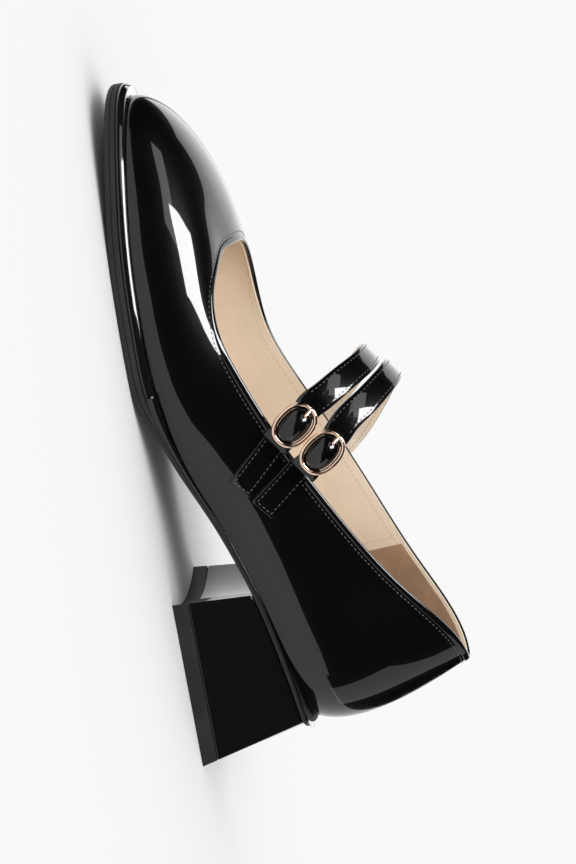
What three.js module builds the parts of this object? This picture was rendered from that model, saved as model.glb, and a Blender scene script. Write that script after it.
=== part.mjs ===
// Left mary jane shoe with a block heel, a square toe and two buckled instep straps.
// Millimetres. +X runs to the toe, +Y to the wearer's left (the outer side), +Z up.
// The origin is on the floor under the middle of the heel's top lift.
import * as THREE from "three";

// Driving sizes
const WALL = 1.8; // upper: outside leather and lining together
const GAP = 0.3; // clearance between neighbouring pieces
const INSOLE_THICK = 2.4;
const INSOLE_EASE = 0.7; // insole edge to upper lining
const STRAP_THICK = 2.0;
const STRAP_LEAN = 35; // degrees forward of upright
const TAB_WIDTH = 9.2;
const TAB_THICK = 1.5;
const WIRE = 1.7; // buckle wire diameter
const BUCKLE_LONG = 18.0; // outer size along the strap
const BUCKLE_ACROSS = 13.6; // outer size across the strap
const PRONG = 1.2; // prong wire diameter
const PRONG_LONG = 3.4;
const BUCKLE_TILT = 8; // degrees, top bar nearer the foot
const LIFT_THICK = 5.5; // top lift
const BREAST_HOLLOW = 4.8; // hollow of the heel breast, seen from above

// Facets
const SHELL_STEPS_PER_ROW = 3;
const SHELL_STEPS_UP = 12;
const PLATE_STEPS_PER_ROW = 3;
const PLATE_STEPS_ACROSS = 6;

// Side profile: height of the upper's lower edge, depth from there to the underside, and welt thickness
const PROFILE_COLUMNS = ["x", "feather", "stack", "welt"];
const PROFILE = [
  [-32, 43.0, 2.3, 0],
  [-20, 40.9, 2.3, 0],
  [0, 37.9, 2.4, 0],
  [27, 32.4, 2.6, 0],
  [54, 23.9, 3.0, 0],
  [78, 14.6, 3.7, 0],
  [92, 10.6, 4.7, 0.6],
  [104, 8.7, 7.4, 2.4],
  [114, 8.1, 8.1, 3.2],
  [133, 8.0, 8.0, 3.2],
  [152, 8.2, 8.2, 3.2],
  [167, 8.9, 8.0, 3.2],
  [184, 10.4, 7.8, 3.1],
  [202, 12.3, 7.6, 3.0],
  [222, 14.6, 7.5, 3.0],
];

// Last sections from heel back to toe: foot = lower edge, rim = topline, Out and In = outer and inner side.
// bulge leans the wall outwards above the foot; rise, reach and drop shape its two bends.
const LAST_COLUMNS = [
  "footX", "footOut", "footIn", "rimX", "rimOut", "rimIn", "rimZOut", "rimZIn",
  "bulge", "rise", "reach", "drop",
];
const LAST = {
  back: [-24.6, -1, -1, -14.5, -1.2, -1.2, 100.5, 100.5, 8.6, 0.24, 0.38, 0.3],
  counter: [-20, 17, -19, -5, 7.7, -9.9, 100.4, 100.4, 7.4, 0.26, 0.34, 0.3],
  seat: [-3, 29, -31, 9.4, 16.8, -18.0, 92.8, 94.3, 5.4, 0.32, 0.28, 0.3],
  quarter: [27, 31, -32, 28.6, 22.3, -23.3, 77.2, 83.2, 3.2, 0.36, 0.23, 0.3],
  waist: [54, 31, -29, 60, 27.4, -29.5, 60.5, 70.0, 3.1, 0.38, 0.21, 0.3],
  instep: [80, 33, -31, 88, 30.2, -32.8, 46.4, 56.8, 2.8, 0.39, 0.19, 0.3],
  joint: [106, 37, -36.5, 113, 30.4, -32.8, 36.8, 44.9, 1.3, 0.4, 0.24, 0.25],
  ball: [131, 39, -39.5, 126.3, 29.2, -32.2, 32.8, 43.5, 0.7, 0.46, 0.36, 0.12],
  vamp: [157, 36.2, -37.6, 139.9, 25.9, -28.5, 33.0, 43.4, 0.5, 0.48, 0.47, 0.06],
  tread: [180.4, 30, -33.3, 149.2, 18.4, -21.0, 36.3, 43.8, 0.2, 0.47, 0.53, 0.04],
  corner: [201, 22.6, -26, 153.9, 10.8, -13.2, 37.6, 43.6, 0, 0.43, 0.57, 0.03],
  bend: [212.2, 13.4, -18, 155, 3.7, -8.2, 40.3, 43.0, 0, 0.42, 0.6, 0.03],
  toe: [214.6, -2.8, -2.8, 155, -2.9, -2.9, 42.2, 42.2, 0, 0.41, 0.6, 0.03],
};

// Outline of the outsole, heel back to toe
const SOLE_COLUMNS = ["x", "out", "in"];
const SOLE = {
  back: [-26.2, 0, 0],
  backHalf: [-25.2, 14, -14],
  corner: [-21.2, 27.6, -27.6],
  afterCorner: [-18.4, 28.6, -28.6],
  seat: [0, 30.4, -30.8],
  breast: [27, 31.6, -32.4],
  waist: [54, 31.4, -29.6],
  shank: [78, 33.2, -31.2],
  joint: [95, 38.0, -32.6],
  weltStart: [108, 41.8, -35.4],
  ball: [124, 43.2, -41.4],
  tread: [141, 42.2, -42.6],
  vamp: [159, 39.0, -40.9],
  taper: [184, 32.8, -36],
  toeSide: [206, 25.7, -29],
  toeCorner: [217.2, 15.4, -20.2],
  toe: [219.8, -2.7, -2.7],
};
const WELT_FIRST_ROW = 8; // the welt starts at the joint row of the outsole

// Heel block outline at the floor and at the seat
const HEEL = {
  floor: { backX: -29.6, crown: 2.5, backHalf: 31.6, frontX: 32.0, frontHalf: 35.0 },
  seat: { backX: -20.6, crown: 4.6, backHalf: 27.4, frontX: 30.2, frontHalf: 30.6 },
  seatLevel: 36,
};

// Run of a strap through its buckle, from below the lower bar to above the upper bar:
// along = distance from the buckle's middle, lift = distance out from the buckle's plane,
// aside = distance towards the toe, square to the run
const BUCKLE_RUN_COLUMNS = ["along", "lift", "width", "aside"];
const BUCKLE_RUN = [
  [-10.2, -3.2, 9.0, 0],
  [-8.2, -2.8, 8.6, 0],
  [-6.2, -2.7, 7.2, 0],
  [-4.2, 0.2, 6.7, 0],
  [-1.5, 2.4, 7.2, 0],
  [1.5, 2.4, 7.2, 0],
  [4.2, 0.2, 6.7, 0.1],
  [6.2, -2.7, 7.2, 0.6],
  [8.4, -3.1, 8.8, 1.0],
];

// Centre line of each strap from above its buckle to the inner end
const STRAP_COLUMNS = ["x", "y", "z", "width"];
const STRAP_FRONT = [
  [97.8, 29.8, 66.2, 9.0],
  [102.0, 23.8, 74.0, 9.0],
  [105.1, 14.6, 80.6, 9.0],
  [106.4, 1.0, 83.1, 9.0],
  [104.2, -14.0, 80.7, 9.0],
  [98.2, -26.4, 74.8, 9.0],
  [90.6, -34.4, 67.2, 9.0],
  [84.6, -37.6, 60.8, 9.0],
  [80.8, -37.0, 55.4, 9.0],
  [78.8, -35.9, 50.2, 9.0],
  [77.8, -35.4, 46.0, 9.0],
];
const STRAP_REAR = [
  [88.2, 29.4, 73.7, 9.0],
  [93.3, 23.0, 81.6, 9.0],
  [97.7, 13.8, 87.9, 9.0],
  [99.3, 1.0, 90.3, 9.0],
  [96.6, -14.0, 88.1, 9.0],
  [88.8, -26.4, 82.4, 9.0],
  [79.4, -34.0, 75.0, 9.0],
  [73.0, -37.0, 69.0, 9.0],
  [68.8, -36.5, 63.8, 9.0],
  [66.6, -35.4, 58.8, 9.0],
  [65.4, -34.8, 54.4, 9.0],
];
const BUCKLES = {
  front: { x: 90.0, y: 35.7, z: 55.4 },
  rear: { x: 78.7, y: 35.7, z: 63.5 },
};
const TABS = {
  front: { x: 69.6, z: 31.4, toX: 84.0, toZ: 46.6 },
  rear: { x: 61.0, z: 37.9, toX: 73.6, toZ: 54.0 },
};

const rad = (degrees) => (degrees * Math.PI) / 180;
const mix = (a, b, k) => a + (b - a) * k;

// Named columns of a short table
function named(columns, row) {
  return Object.fromEntries(columns.map((name, i) => [name, row[i]]));
}

// Smooth value of one column of the side profile at a place along the shoe
function profileAt(x, column) {
  const rows = PROFILE.map((row) => named(PROFILE_COLUMNS, row));
  let i = rows.findIndex((row) => row.x > x) - 1;
  if (i < 0) i = x < rows[0].x ? 0 : rows.length - 2;
  const slope = (k) => {
    const a = rows[Math.max(k - 1, 0)];
    const b = rows[Math.min(k + 1, rows.length - 1)];
    return (b[column] - a[column]) / (b.x - a.x);
  };
  const width = rows[i + 1].x - rows[i].x;
  const s = (x - rows[i].x) / width;
  const s2 = s * s;
  const s3 = s2 * s;
  return (
    rows[i][column] * (2 * s3 - 3 * s2 + 1) +
    rows[i + 1][column] * (3 * s2 - 2 * s3) +
    slope(i) * width * (s3 - 2 * s2 + s) +
    slope(i + 1) * width * (s3 - s2)
  );
}

const featherZ = (x) => profileAt(x, "feather");
const undersideZ = (x) => Math.max(0, featherZ(x) - profileAt(x, "stack"));
const weltThick = (x) => Math.max(0, profileAt(x, "welt"));

// Uniform cubic B-spline through a closed ring or an open run of numeric rows
function blendRows(rows, u, closed) {
  const n = rows.length;
  const i = Math.floor(u);
  const f = u - i;
  const pick = (k) => {
    if (closed) return rows[((k % n) + n) % n];
    return rows[Math.min(Math.max(k, 0), n - 1)];
  };
  const w = [
    (1 - f) ** 3 / 6,
    (3 * f ** 3 - 6 * f ** 2 + 4) / 6,
    (-3 * f ** 3 + 3 * f ** 2 + 3 * f + 1) / 6,
    f ** 3 / 6,
  ];
  return rows[0].map((_, c) => w.reduce((sum, wk, k) => sum + wk * pick(i - 1 + k)[c], 0));
}

// Ring of last sections: outer side from heel to toe, then inner side back to the heel
const lastRows = Object.values(LAST).map((row) => named(LAST_COLUMNS, row));
const sideRow = (row, side) => [
  row.footX, side > 0 ? row.footOut : row.footIn,
  row.rimX, side > 0 ? row.rimOut : row.rimIn, side > 0 ? row.rimZOut : row.rimZIn,
  row.bulge, row.rise, row.reach, row.drop,
];
const lastRing = [
  ...lastRows.map((row) => sideRow(row, 1)),
  ...lastRows.slice(1, -1).reverse().map((row) => sideRow(row, -1)),
];

function section(u) {
  const [footX, footY, rimX, rimY, rimZ, bulge, rise, reach, drop] = blendRows(lastRing, u, true);
  const before = blendRows(lastRing, u - 0.001, true);
  const after = blendRows(lastRing, u + 0.001, true);
  const out = new THREE.Vector2(before[1] - after[1], after[0] - before[0]).normalize();
  if (out.x * (footX - 95) + out.y * footY < 0) out.negate();
  const foot = new THREE.Vector3(footX, footY, featherZ(footX));
  const rim = new THREE.Vector3(rimX, rimY, rimZ);
  const height = rimZ - foot.z;
  const low = new THREE.Vector3(
    footX + out.x * bulge, footY + out.y * bulge, foot.z + height * rise);
  const high = new THREE.Vector3(
    mix(rimX, footX, reach) + (out.x * bulge) / 2,
    mix(rimY, footY, reach) + (out.y * bulge) / 2,
    rimZ - height * drop);
  return { foot, low, high, rim, out };
}

// Point on the outside of the upper: u runs round the ring, t from the lower edge to the topline
function outside(u, t) {
  const { foot, low, high, rim } = section(u);
  return new THREE.CubicBezierCurve3(foot, low, high, rim).getPoint(t);
}

function outsideNormal(u, t) {
  const e = 0.01;
  const along = outside(u + e, t).sub(outside(u - e, t));
  const up = outside(u, Math.min(t + e, 1)).sub(outside(u, Math.max(t - e, 0)));
  const n = new THREE.Vector3().crossVectors(along, up).normalize();
  return n.dot(new THREE.Vector3(section(u).out.x, section(u).out.y, 0.4)) < 0 ? n.negate() : n;
}

// Point on the lining: square to the outside, but level along the lower edge
function inside(u, t, wall = WALL) {
  const { out } = section(u);
  const level = new THREE.Vector3(out.x, out.y, 0);
  const k = Math.min(1, t / 0.18);
  const n = level.lerp(outsideNormal(u, t), k).normalize();
  const p = outside(u, t).addScaledVector(n, -wall);
  return p;
}

// Closed body from quads and triangles, turned to face out
class Skin {
  constructor() {
    this.points = [];
    this.index = [];
  }
  point(x, y, z) {
    this.points.push(x, y, z);
    return this.points.length / 3 - 1;
  }
  add(v) {
    return this.point(v.x, v.y, v.z);
  }
  quad(a, b, c, d) {
    this.index.push(a, b, c, a, c, d);
  }
  geometry() {
    const corner = (k) => new THREE.Vector3().fromArray(this.points, 3 * k);
    let volume = 0;
    const kept = [];
    for (let i = 0; i < this.index.length; i += 3) {
      const [a, b, c] = this.index.slice(i, i + 3).map(corner);
      const flat = a.distanceTo(b) < 1e-6 || b.distanceTo(c) < 1e-6 || c.distanceTo(a) < 1e-6;
      if (flat) continue;
      volume += a.dot(new THREE.Vector3().crossVectors(b, c));
      kept.push(this.index.slice(i, i + 3));
    }
    const faces = volume < 0 ? kept.map(([a, b, c]) => [a, c, b]) : kept;
    const made = new THREE.BufferGeometry();
    made.setAttribute("position", new THREE.Float32BufferAttribute(this.points, 3));
    made.setIndex(faces.flat());
    const flatShaded = made.toNonIndexed();
    flatShaded.computeVertexNormals();
    return flatShaded;
  }
}

// Hollow wall between two grids that close round the ring
function ringWall(outer, inner) {
  const skin = new Skin();
  const put = (grid) => grid.map((line) => line.map((p) => skin.add(p)));
  const o = put(outer);
  const n = put(inner);
  const last = outer[0].length - 1;
  o.forEach((line, i) => {
    const j = (i + 1) % o.length;
    for (let k = 0; k < last; k++) {
      skin.quad(o[i][k], o[j][k], o[j][k + 1], o[i][k + 1]);
      skin.quad(n[i][k], n[i][k + 1], n[j][k + 1], n[j][k]);
    }
    skin.quad(o[i][0], n[i][0], n[j][0], o[j][0]);
    skin.quad(o[i][last], o[j][last], n[j][last], n[i][last]);
  });
  return skin.geometry();
}

function upperGeometry() {
  const steps = lastRing.length * SHELL_STEPS_PER_ROW;
  const us = Array.from({ length: steps }, (_, i) => i / SHELL_STEPS_PER_ROW);
  const ts = Array.from({ length: SHELL_STEPS_UP + 1 }, (_, k) => k / SHELL_STEPS_UP);
  return ringWall(
    us.map((u) => ts.map((t) => outside(u, t))),
    us.map((u) => ts.map((t) => inside(u, t))),
  );
}

// Solid between a stack of loops, each given as pairs of outer-side and inner-side points.
// The first loop is closed below and the last above, with rungs across.
function ladderSolid(loops, acrossSteps, bottomZ, topZ) {
  const skin = new Skin();
  const rows = loops[0].pairs.length;
  const cap = (loop, heightAt) =>
    loop.pairs.map(([a, b]) =>
      Array.from({ length: acrossSteps + 1 }, (_, k) => {
        const x = mix(a.x, b.x, k / acrossSteps);
        return skin.point(x, mix(a.y, b.y, k / acrossSteps), heightAt(x));
      }));
  const middle = loops.slice(1, -1).map((loop) => loop.pairs.map(([a, b]) =>
    [a, b].map((p) => {
      const z = mix(bottomZ(p.x), topZ(p.x), loop.up);
      return skin.point(p.x, p.y, z);
    })));
  const low = cap(loops[0], bottomZ);
  const high = cap(loops[loops.length - 1], topZ);
  const edge = (line) => [line[0], line[line.length - 1]];
  const walls = [low.map(edge), ...middle, high.map(edge)];
  for (let i = 0; i + 1 < rows; i++) {
    for (let k = 0; k < acrossSteps; k++) {
      skin.quad(low[i][k], low[i][k + 1], low[i + 1][k + 1], low[i + 1][k]);
      skin.quad(high[i][k], high[i + 1][k], high[i + 1][k + 1], high[i][k + 1]);
    }
    for (let w = 0; w + 1 < walls.length; w++) {
      const [p, q] = [walls[w], walls[w + 1]];
      skin.quad(p[i][0], p[i + 1][0], q[i + 1][0], q[i][0]);
      skin.quad(p[i][1], q[i][1], q[i + 1][1], p[i + 1][1]);
    }
  }
  // flat ends, where the first or last rung has a width
  for (const [i, turn] of [[0, 1], [rows - 1, -1]]) {
    const line = [];
    for (let k = 0; k <= acrossSteps; k++) line.push([low[i][k], high[i][k]]);
    const rim = [
      ...low[i],
      ...middle.map((m) => m[i][1]),
      ...[...high[i]].reverse(),
      ...middle.map((m) => m[i][0]).reverse(),
    ];
    const [a, b] = loops[0].pairs[i];
    if (Math.abs(a.y - b.y) < 0.01) continue;
    const centre = skin.point(...middlePoint(skin, rim));
    rim.forEach((p, k) => {
      const q = rim[(k + 1) % rim.length];
      if (turn > 0) skin.index.push(centre, q, p);
      else skin.index.push(centre, p, q);
    });
  }
  return skin.geometry();
}

function middlePoint(skin, rim) {
  const sum = [0, 0, 0];
  rim.forEach((p) => [0, 1, 2].forEach((c) => (sum[c] += skin.points[3 * p + c] / rim.length)));
  return sum;
}

// Pairs of outline points from heel to toe, moved in from the edge by inset
const soleRows = Object.values(SOLE).map((row) => named(SOLE_COLUMNS, row));
const soleRing = [
  ...soleRows.map((row) => [row.x, row.out]),
  ...soleRows.slice(1, -1).reverse().map((row) => [row.x, row.in]),
];

function outlinePairs(ring, inset, firstRow = 0) {
  const half = ring.length / 2;
  const count = (half - firstRow) * PLATE_STEPS_PER_ROW;
  const place = (u) => {
    const [x, y] = blendRows(ring, u, true);
    const before = blendRows(ring, u - 0.001, true);
    const after = blendRows(ring, u + 0.001, true);
    const out = new THREE.Vector2(before[1] - after[1], after[0] - before[0]).normalize();
    if (out.x * (x - 95) + out.y * y < 0) out.negate();
    return new THREE.Vector2(x - out.x * inset, y - out.y * inset);
  };
  return Array.from({ length: count + 1 }, (_, i) => {
    const u = firstRow + i / PLATE_STEPS_PER_ROW;
    return [place(u), place(2 * half - u)];
  });
}

const outsoleTop = (x) => {
  const welt = weltThick(x);
  return featherZ(x) - GAP - (welt > 0.3 ? welt + GAP : 0);
};

function outsoleGeometry() {
  const edge = [
    { inset: 0.9, up: 0 },
    { inset: 0.1, up: 0.16 },
    { inset: 0.1, up: 0.86 },
    { inset: 0.6, up: 1 },
  ];
  const loops = edge.map(({ inset, up }) => ({ up, pairs: outlinePairs(soleRing, inset) }));
  return ladderSolid(loops, PLATE_STEPS_ACROSS, undersideZ, outsoleTop);
}

function weltGeometry() {
  const edge = [
    { inset: 0.5, up: 0 },
    { inset: 0.3, up: 0.25 },
    { inset: 1.3, up: 0.9 },
    { inset: 1.9, up: 1 },
  ];
  const loops = edge.map(({ inset, up }) => ({
    up,
    pairs: outlinePairs(soleRing, inset, WELT_FIRST_ROW),
  }));
  return ladderSolid(
    loops,
    PLATE_STEPS_ACROSS,
    (x) => featherZ(x) - GAP - weltThick(x),
    (x) => featherZ(x) - GAP,
  );
}

function insoleGeometry() {
  const ring = lastRing.map(([x, y]) => [x, y]);
  const edge = [
    { inset: WALL + INSOLE_EASE, up: 0 },
    { inset: WALL + INSOLE_EASE, up: 0.7 },
    { inset: WALL + INSOLE_EASE + 0.5, up: 1 },
  ];
  const loops = edge.map(({ inset, up }) => ({ up, pairs: outlinePairs(ring, inset) }));
  return ladderSolid(loops, PLATE_STEPS_ACROSS, featherZ, (x) => featherZ(x) + INSOLE_THICK);
}

// Heel outline between floor and seat: along 0 at the back to 1 at the breast, across -1 to 1
function heelPoint(along, across, level) {
  const at = (name) => mix(HEEL.floor[name], HEEL.seat[name], level);
  const back = at("backX") - at("crown") * (1 - across * across);
  const front = at("frontX") - BREAST_HOLLOW * (1 - across * across);
  return new THREE.Vector2(
    mix(back, front, along),
    across * mix(at("backHalf"), at("frontHalf"), along),
  );
}

function heelSolid(lowZ, highZ) {
  const skin = new Skin();
  const long = 12;
  const wide = 12;
  const plate = (zAt) =>
    Array.from({ length: long + 1 }, (_, i) =>
      Array.from({ length: wide + 1 }, (_, k) => {
        const across = -1 + (2 * k) / wide;
        let z = zAt(heelPoint(i / long, across, 0).x);
        let p = heelPoint(i / long, across, z / HEEL.seatLevel);
        z = zAt(p.x);
        p = heelPoint(i / long, across, z / HEEL.seatLevel);
        return skin.point(p.x, p.y, zAt(p.x));
      }));
  const low = plate(lowZ);
  const high = plate(highZ);
  for (let i = 0; i < long; i++) {
    for (let k = 0; k < wide; k++) {
      skin.quad(low[i][k], low[i + 1][k], low[i + 1][k + 1], low[i][k + 1]);
      skin.quad(high[i][k], high[i][k + 1], high[i + 1][k + 1], high[i + 1][k]);
    }
    skin.quad(low[i][0], high[i][0], high[i + 1][0], low[i + 1][0]);
    skin.quad(low[i][wide], low[i + 1][wide], high[i + 1][wide], high[i][wide]);
  }
  for (let k = 0; k < wide; k++) {
    skin.quad(low[0][k], low[0][k + 1], high[0][k + 1], high[0][k]);
    skin.quad(low[long][k], high[long][k], high[long][k + 1], low[long][k + 1]);
  }
  return skin.geometry();
}

// Flat band swept along a centre line, its width lying back along the lean
function bandGeometry(buckle, table, thick) {
  const tilt = rad(BUCKLE_TILT);
  const lean = rad(STRAP_LEAN);
  const run = BUCKLE_RUN.map((row) => named(BUCKLE_RUN_COLUMNS, row)).map((row) => [
    buckle.x + row.along * Math.sin(lean) + row.aside * Math.cos(lean),
    buckle.y - row.along * Math.sin(tilt) + row.lift,
    buckle.z + row.along * Math.cos(lean) - row.aside * Math.sin(lean),
    row.width,
  ]);
  const arch = table.map((row) => Object.values(named(STRAP_COLUMNS, row)));
  const rows = [...run, ...arch];
  const curve = new THREE.CatmullRomCurve3(
    rows.map((row) => new THREE.Vector3(row[0], row[1], row[2])), false, "centripetal");
  const steps = 2 * (rows.length - 1);
  const leanBack = new THREE.Vector3(-Math.cos(rad(STRAP_LEAN)), 0, Math.sin(rad(STRAP_LEAN)));
  const skin = new Skin();
  const rings = Array.from({ length: steps + 1 }, (_, i) => {
    const p = curve.getPoint(i / steps);
    const width = mix(rows[Math.floor(i / 2)][3], rows[Math.ceil(i / 2)][3], 0.5);
    const tangent = curve.getTangent(i / steps);
    const across = leanBack.clone().addScaledVector(tangent, -leanBack.dot(tangent)).normalize();
    const up = new THREE.Vector3().crossVectors(tangent, across);
    return [[-1, -1], [1, -1], [1, 1], [-1, 1]].map(([a, b]) =>
      skin.add(p.clone()
        .addScaledVector(across, (a * width) / 2)
        .addScaledVector(up, (b * thick) / 2)));
  });
  for (let i = 0; i < steps; i++) {
    for (let k = 0; k < 4; k++) {
      const j = (k + 1) % 4;
      skin.quad(rings[i][k], rings[i][j], rings[i + 1][j], rings[i + 1][k]);
    }
  }
  skin.quad(rings[0][3], rings[0][2], rings[0][1], rings[0][0]);
  skin.quad(rings[steps][0], rings[steps][1], rings[steps][2], rings[steps][3]);
  return skin.geometry();
}

// Place on the outer quarter with a given x and height
function onQuarter(x, z) {
  let best = { u: 5, t: 0.5, miss: Infinity };
  for (let span = 1; span > 0.001; span /= 3) {
    const from = best;
    for (let a = -6; a <= 6; a++) {
      for (let b = -6; b <= 6; b++) {
        const u = from.u + (a * span) / 3;
        const t = Math.min(1, Math.max(0, from.t + (b * span) / 12));
        const p = outside(u, t);
        const miss = Math.hypot(p.x - x, p.z - z);
        if (miss < best.miss) best = { u, t, miss };
      }
    }
  }
  return best;
}

// Square-ended tab laid on the quarter
function tabGeometry({ x, z, toX, toZ }) {
  const skin = new Skin();
  const long = 10;
  const wide = 4;
  const run = new THREE.Vector2(toX - x, toZ - z);
  const side = new THREE.Vector2(-run.y, run.x).normalize();
  const layer = (lift) =>
    Array.from({ length: long + 1 }, (_, i) =>
      Array.from({ length: wide + 1 }, (_, k) => {
        const off = TAB_WIDTH * (k / wide - 0.5);
        const place = onQuarter(
          x + (run.x * i) / long + side.x * off,
          z + (run.y * i) / long + side.y * off);
        const n = outsideNormal(place.u, place.t);
        return skin.add(outside(place.u, place.t).addScaledVector(n, lift));
      }));
  const low = layer(GAP);
  const high = layer(GAP + TAB_THICK);
  for (let i = 0; i < long; i++) {
    for (let k = 0; k < wide; k++) {
      skin.quad(low[i][k], low[i][k + 1], low[i + 1][k + 1], low[i + 1][k]);
      skin.quad(high[i][k], high[i + 1][k], high[i + 1][k + 1], high[i][k + 1]);
    }
    skin.quad(low[i][0], low[i + 1][0], high[i + 1][0], high[i][0]);
    skin.quad(low[i][wide], high[i][wide], high[i + 1][wide], low[i + 1][wide]);
  }
  for (let k = 0; k < wide; k++) {
    skin.quad(low[0][k], high[0][k], high[0][k + 1], low[0][k + 1]);
    skin.quad(low[long][k], low[long][k + 1], high[long][k + 1], high[long][k]);
  }
  return skin.geometry();
}

// Oval wire frame in its own XY plane, long way along Y
function buckleGeometry() {
  const skin = new Skin();
  const steps = 36;
  const sides = 8;
  const halfLong = (BUCKLE_LONG - WIRE) / 2;
  const halfAcross = (BUCKLE_ACROSS - WIRE) / 2;
  const superellipse = (angle) => {
    const c = Math.cos(angle);
    const s = Math.sin(angle);
    const round = (v) => Math.sign(v) * Math.abs(v) ** 0.86;
    return new THREE.Vector3(halfAcross * round(c), halfLong * round(s), 0);
  };
  const rings = Array.from({ length: steps }, (_, i) => {
    const angle = (2 * Math.PI * (i + 0.5)) / steps;
    const p = superellipse(angle);
    const tangent = superellipse(angle + 0.01).sub(superellipse(angle - 0.01)).normalize();
    const out = new THREE.Vector3(tangent.y, -tangent.x, 0);
    return Array.from({ length: sides }, (_, k) => {
      const turn = (2 * Math.PI * k) / sides;
      return skin.add(p.clone()
        .addScaledVector(out, (Math.cos(turn) * WIRE) / 2)
        .add(new THREE.Vector3(0, 0, (Math.sin(turn) * WIRE) / 2)));
    });
  });
  rings.forEach((ring, i) => {
    const next = rings[(i + 1) % steps];
    ring.forEach((p, k) => {
      const j = (k + 1) % sides;
      skin.quad(p, ring[j], next[j], next[k]);
    });
  });
  return skin.geometry();
}

const finish = (color, roughness, metalness) =>
  new THREE.MeshStandardMaterial({ color, roughness, metalness });
const patent = finish(0x0b0b0c, 0.12, 0);
const rubber = finish(0x1b1b1b, 0.75, 0);
const gloss = finish(0x060606, 0.1, 0);
const lining = finish(0xe9d3bb, 0.7, 0);
const gold = finish(0xc98e6b, 0.25, 1);

const group = new THREE.Group();
function piece(name, geometry, material) {
  const mesh = new THREE.Mesh(geometry, material);
  mesh.name = name;
  group.add(mesh);
  return mesh;
}

piece("upper", upperGeometry(), patent);
piece("outsole", outsoleGeometry(), rubber);
piece("welt", weltGeometry(), gloss);
piece("insole", insoleGeometry(), lining);
piece("heel_block", heelSolid(() => LIFT_THICK + GAP, (x) => undersideZ(x) - GAP), gloss);
piece("top_lift", heelSolid(() => 0, () => LIFT_THICK), rubber);
piece("strap_front", bandGeometry(BUCKLES.front, STRAP_FRONT, STRAP_THICK), patent);
piece("strap_rear", bandGeometry(BUCKLES.rear, STRAP_REAR, STRAP_THICK), patent);
piece("tab_front", tabGeometry(TABS.front), patent);
piece("tab_rear", tabGeometry(TABS.rear), patent);

for (const [where, { x, y, z }] of Object.entries(BUCKLES)) {
  const holder = new THREE.Group();
  holder.position.set(x, y, z);
  // frame stands on the side of the foot, its long way along the strap
  holder.rotation.set(rad(90 - BUCKLE_TILT), 0, rad(180), "ZXY");
  const frame = new THREE.Mesh(buckleGeometry(), gold);
  frame.name = "buckle_" + where;
  frame.rotation.z = rad(STRAP_LEAN);
  holder.add(frame);
  // the prong lies over the top bar and points down the swell of the strap
  const pin = new THREE.Group();
  pin.rotation.z = rad(STRAP_LEAN);
  const prong = new THREE.Mesh(new THREE.CapsuleGeometry(PRONG / 2, PRONG_LONG, 3, 8), gold);
  prong.name = "prong_" + where;
  prong.position.set(0, (BUCKLE_LONG - WIRE) / 2 - 1.4, WIRE / 2 + PRONG / 2 + 1.1);
  prong.rotation.x = rad(-30);
  pin.add(prong);
  holder.add(pin);
  group.add(holder);
}

export default group;
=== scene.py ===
"""Left mary jane shoe: the leathers, stitching, sole, heel and buckles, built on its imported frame."""

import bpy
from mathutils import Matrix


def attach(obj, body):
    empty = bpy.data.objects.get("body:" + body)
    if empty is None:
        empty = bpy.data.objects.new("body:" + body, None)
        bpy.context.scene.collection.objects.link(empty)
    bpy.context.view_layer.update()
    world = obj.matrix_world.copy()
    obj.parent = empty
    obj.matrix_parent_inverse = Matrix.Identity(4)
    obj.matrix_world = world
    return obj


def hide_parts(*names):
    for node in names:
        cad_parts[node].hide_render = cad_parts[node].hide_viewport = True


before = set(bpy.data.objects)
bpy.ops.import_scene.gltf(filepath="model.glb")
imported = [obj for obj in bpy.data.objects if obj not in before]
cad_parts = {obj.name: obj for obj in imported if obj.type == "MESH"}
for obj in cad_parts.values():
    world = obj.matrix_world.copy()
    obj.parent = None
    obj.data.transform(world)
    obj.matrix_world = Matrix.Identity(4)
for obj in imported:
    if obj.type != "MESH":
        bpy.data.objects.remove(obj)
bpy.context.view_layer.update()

import math

import bmesh
import bpy
import numpy as np
from mathutils import Matrix, Vector

bl_info = {
    "name": "Mary Jane Shoe",
    "version": (1, 0, 0),
    "blender": (4, 5, 0),
    "location": "3D View > Sidebar > Shoe",
    "description": "Leathers, stitching, sole, heel and buckles of a left mary jane shoe",
    "category": "Object",
}

MM = 0.001

# ---------------------------------------------------------------- sizes of the last, in millimetres

WALL = 1.8
GAP = 0.3
INSOLE_THICK = 2.4
INSOLE_EASE = 0.7
STRAP_THICK = 2.0
STRAP_LEAN = math.radians(35)
TAB_WIDTH = 9.2
TAB_THICK = 1.5
WIRE = 1.7
BUCKLE_LONG = 18.0
BUCKLE_ACROSS = 13.6
BUCKLE_TILT = math.radians(8)
LIFT_THICK = 5.5
BREAST_HOLLOW = 4.8
MIDDLE_X = 95.0
PRONG_THICK = 1.2
PRONG_LONG = 3.4
PRONG_LEAN = math.radians(-30)
STRAP_WIDTH = 9.0
OVAL = 0.86  # under 1, the buckle's corners are squarer than an ellipse's
UNSEWN = 22.0  # length of strap at the buckle without stitches
DOT_RADIUS = 0.42
DOT_PITCH = 3.1
DOT_INSET = 4.2  # from the insole's edge to its perforations

# x, height of the upper's lower edge, depth from there to the underside, welt thickness
PROFILE = np.array([
    [-32, 43.0, 2.3, 0],
    [-20, 40.9, 2.3, 0],
    [0, 37.9, 2.4, 0],
    [27, 32.4, 2.6, 0],
    [54, 23.9, 3.0, 0],
    [78, 14.6, 3.7, 0],
    [92, 10.6, 4.7, 0.6],
    [104, 8.7, 7.4, 2.4],
    [114, 8.1, 8.1, 3.2],
    [133, 8.0, 8.0, 3.2],
    [152, 8.2, 8.2, 3.2],
    [167, 8.9, 8.0, 3.2],
    [184, 10.4, 7.8, 3.1],
    [202, 12.3, 7.6, 3.0],
    [222, 14.6, 7.5, 3.0],
])

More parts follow.
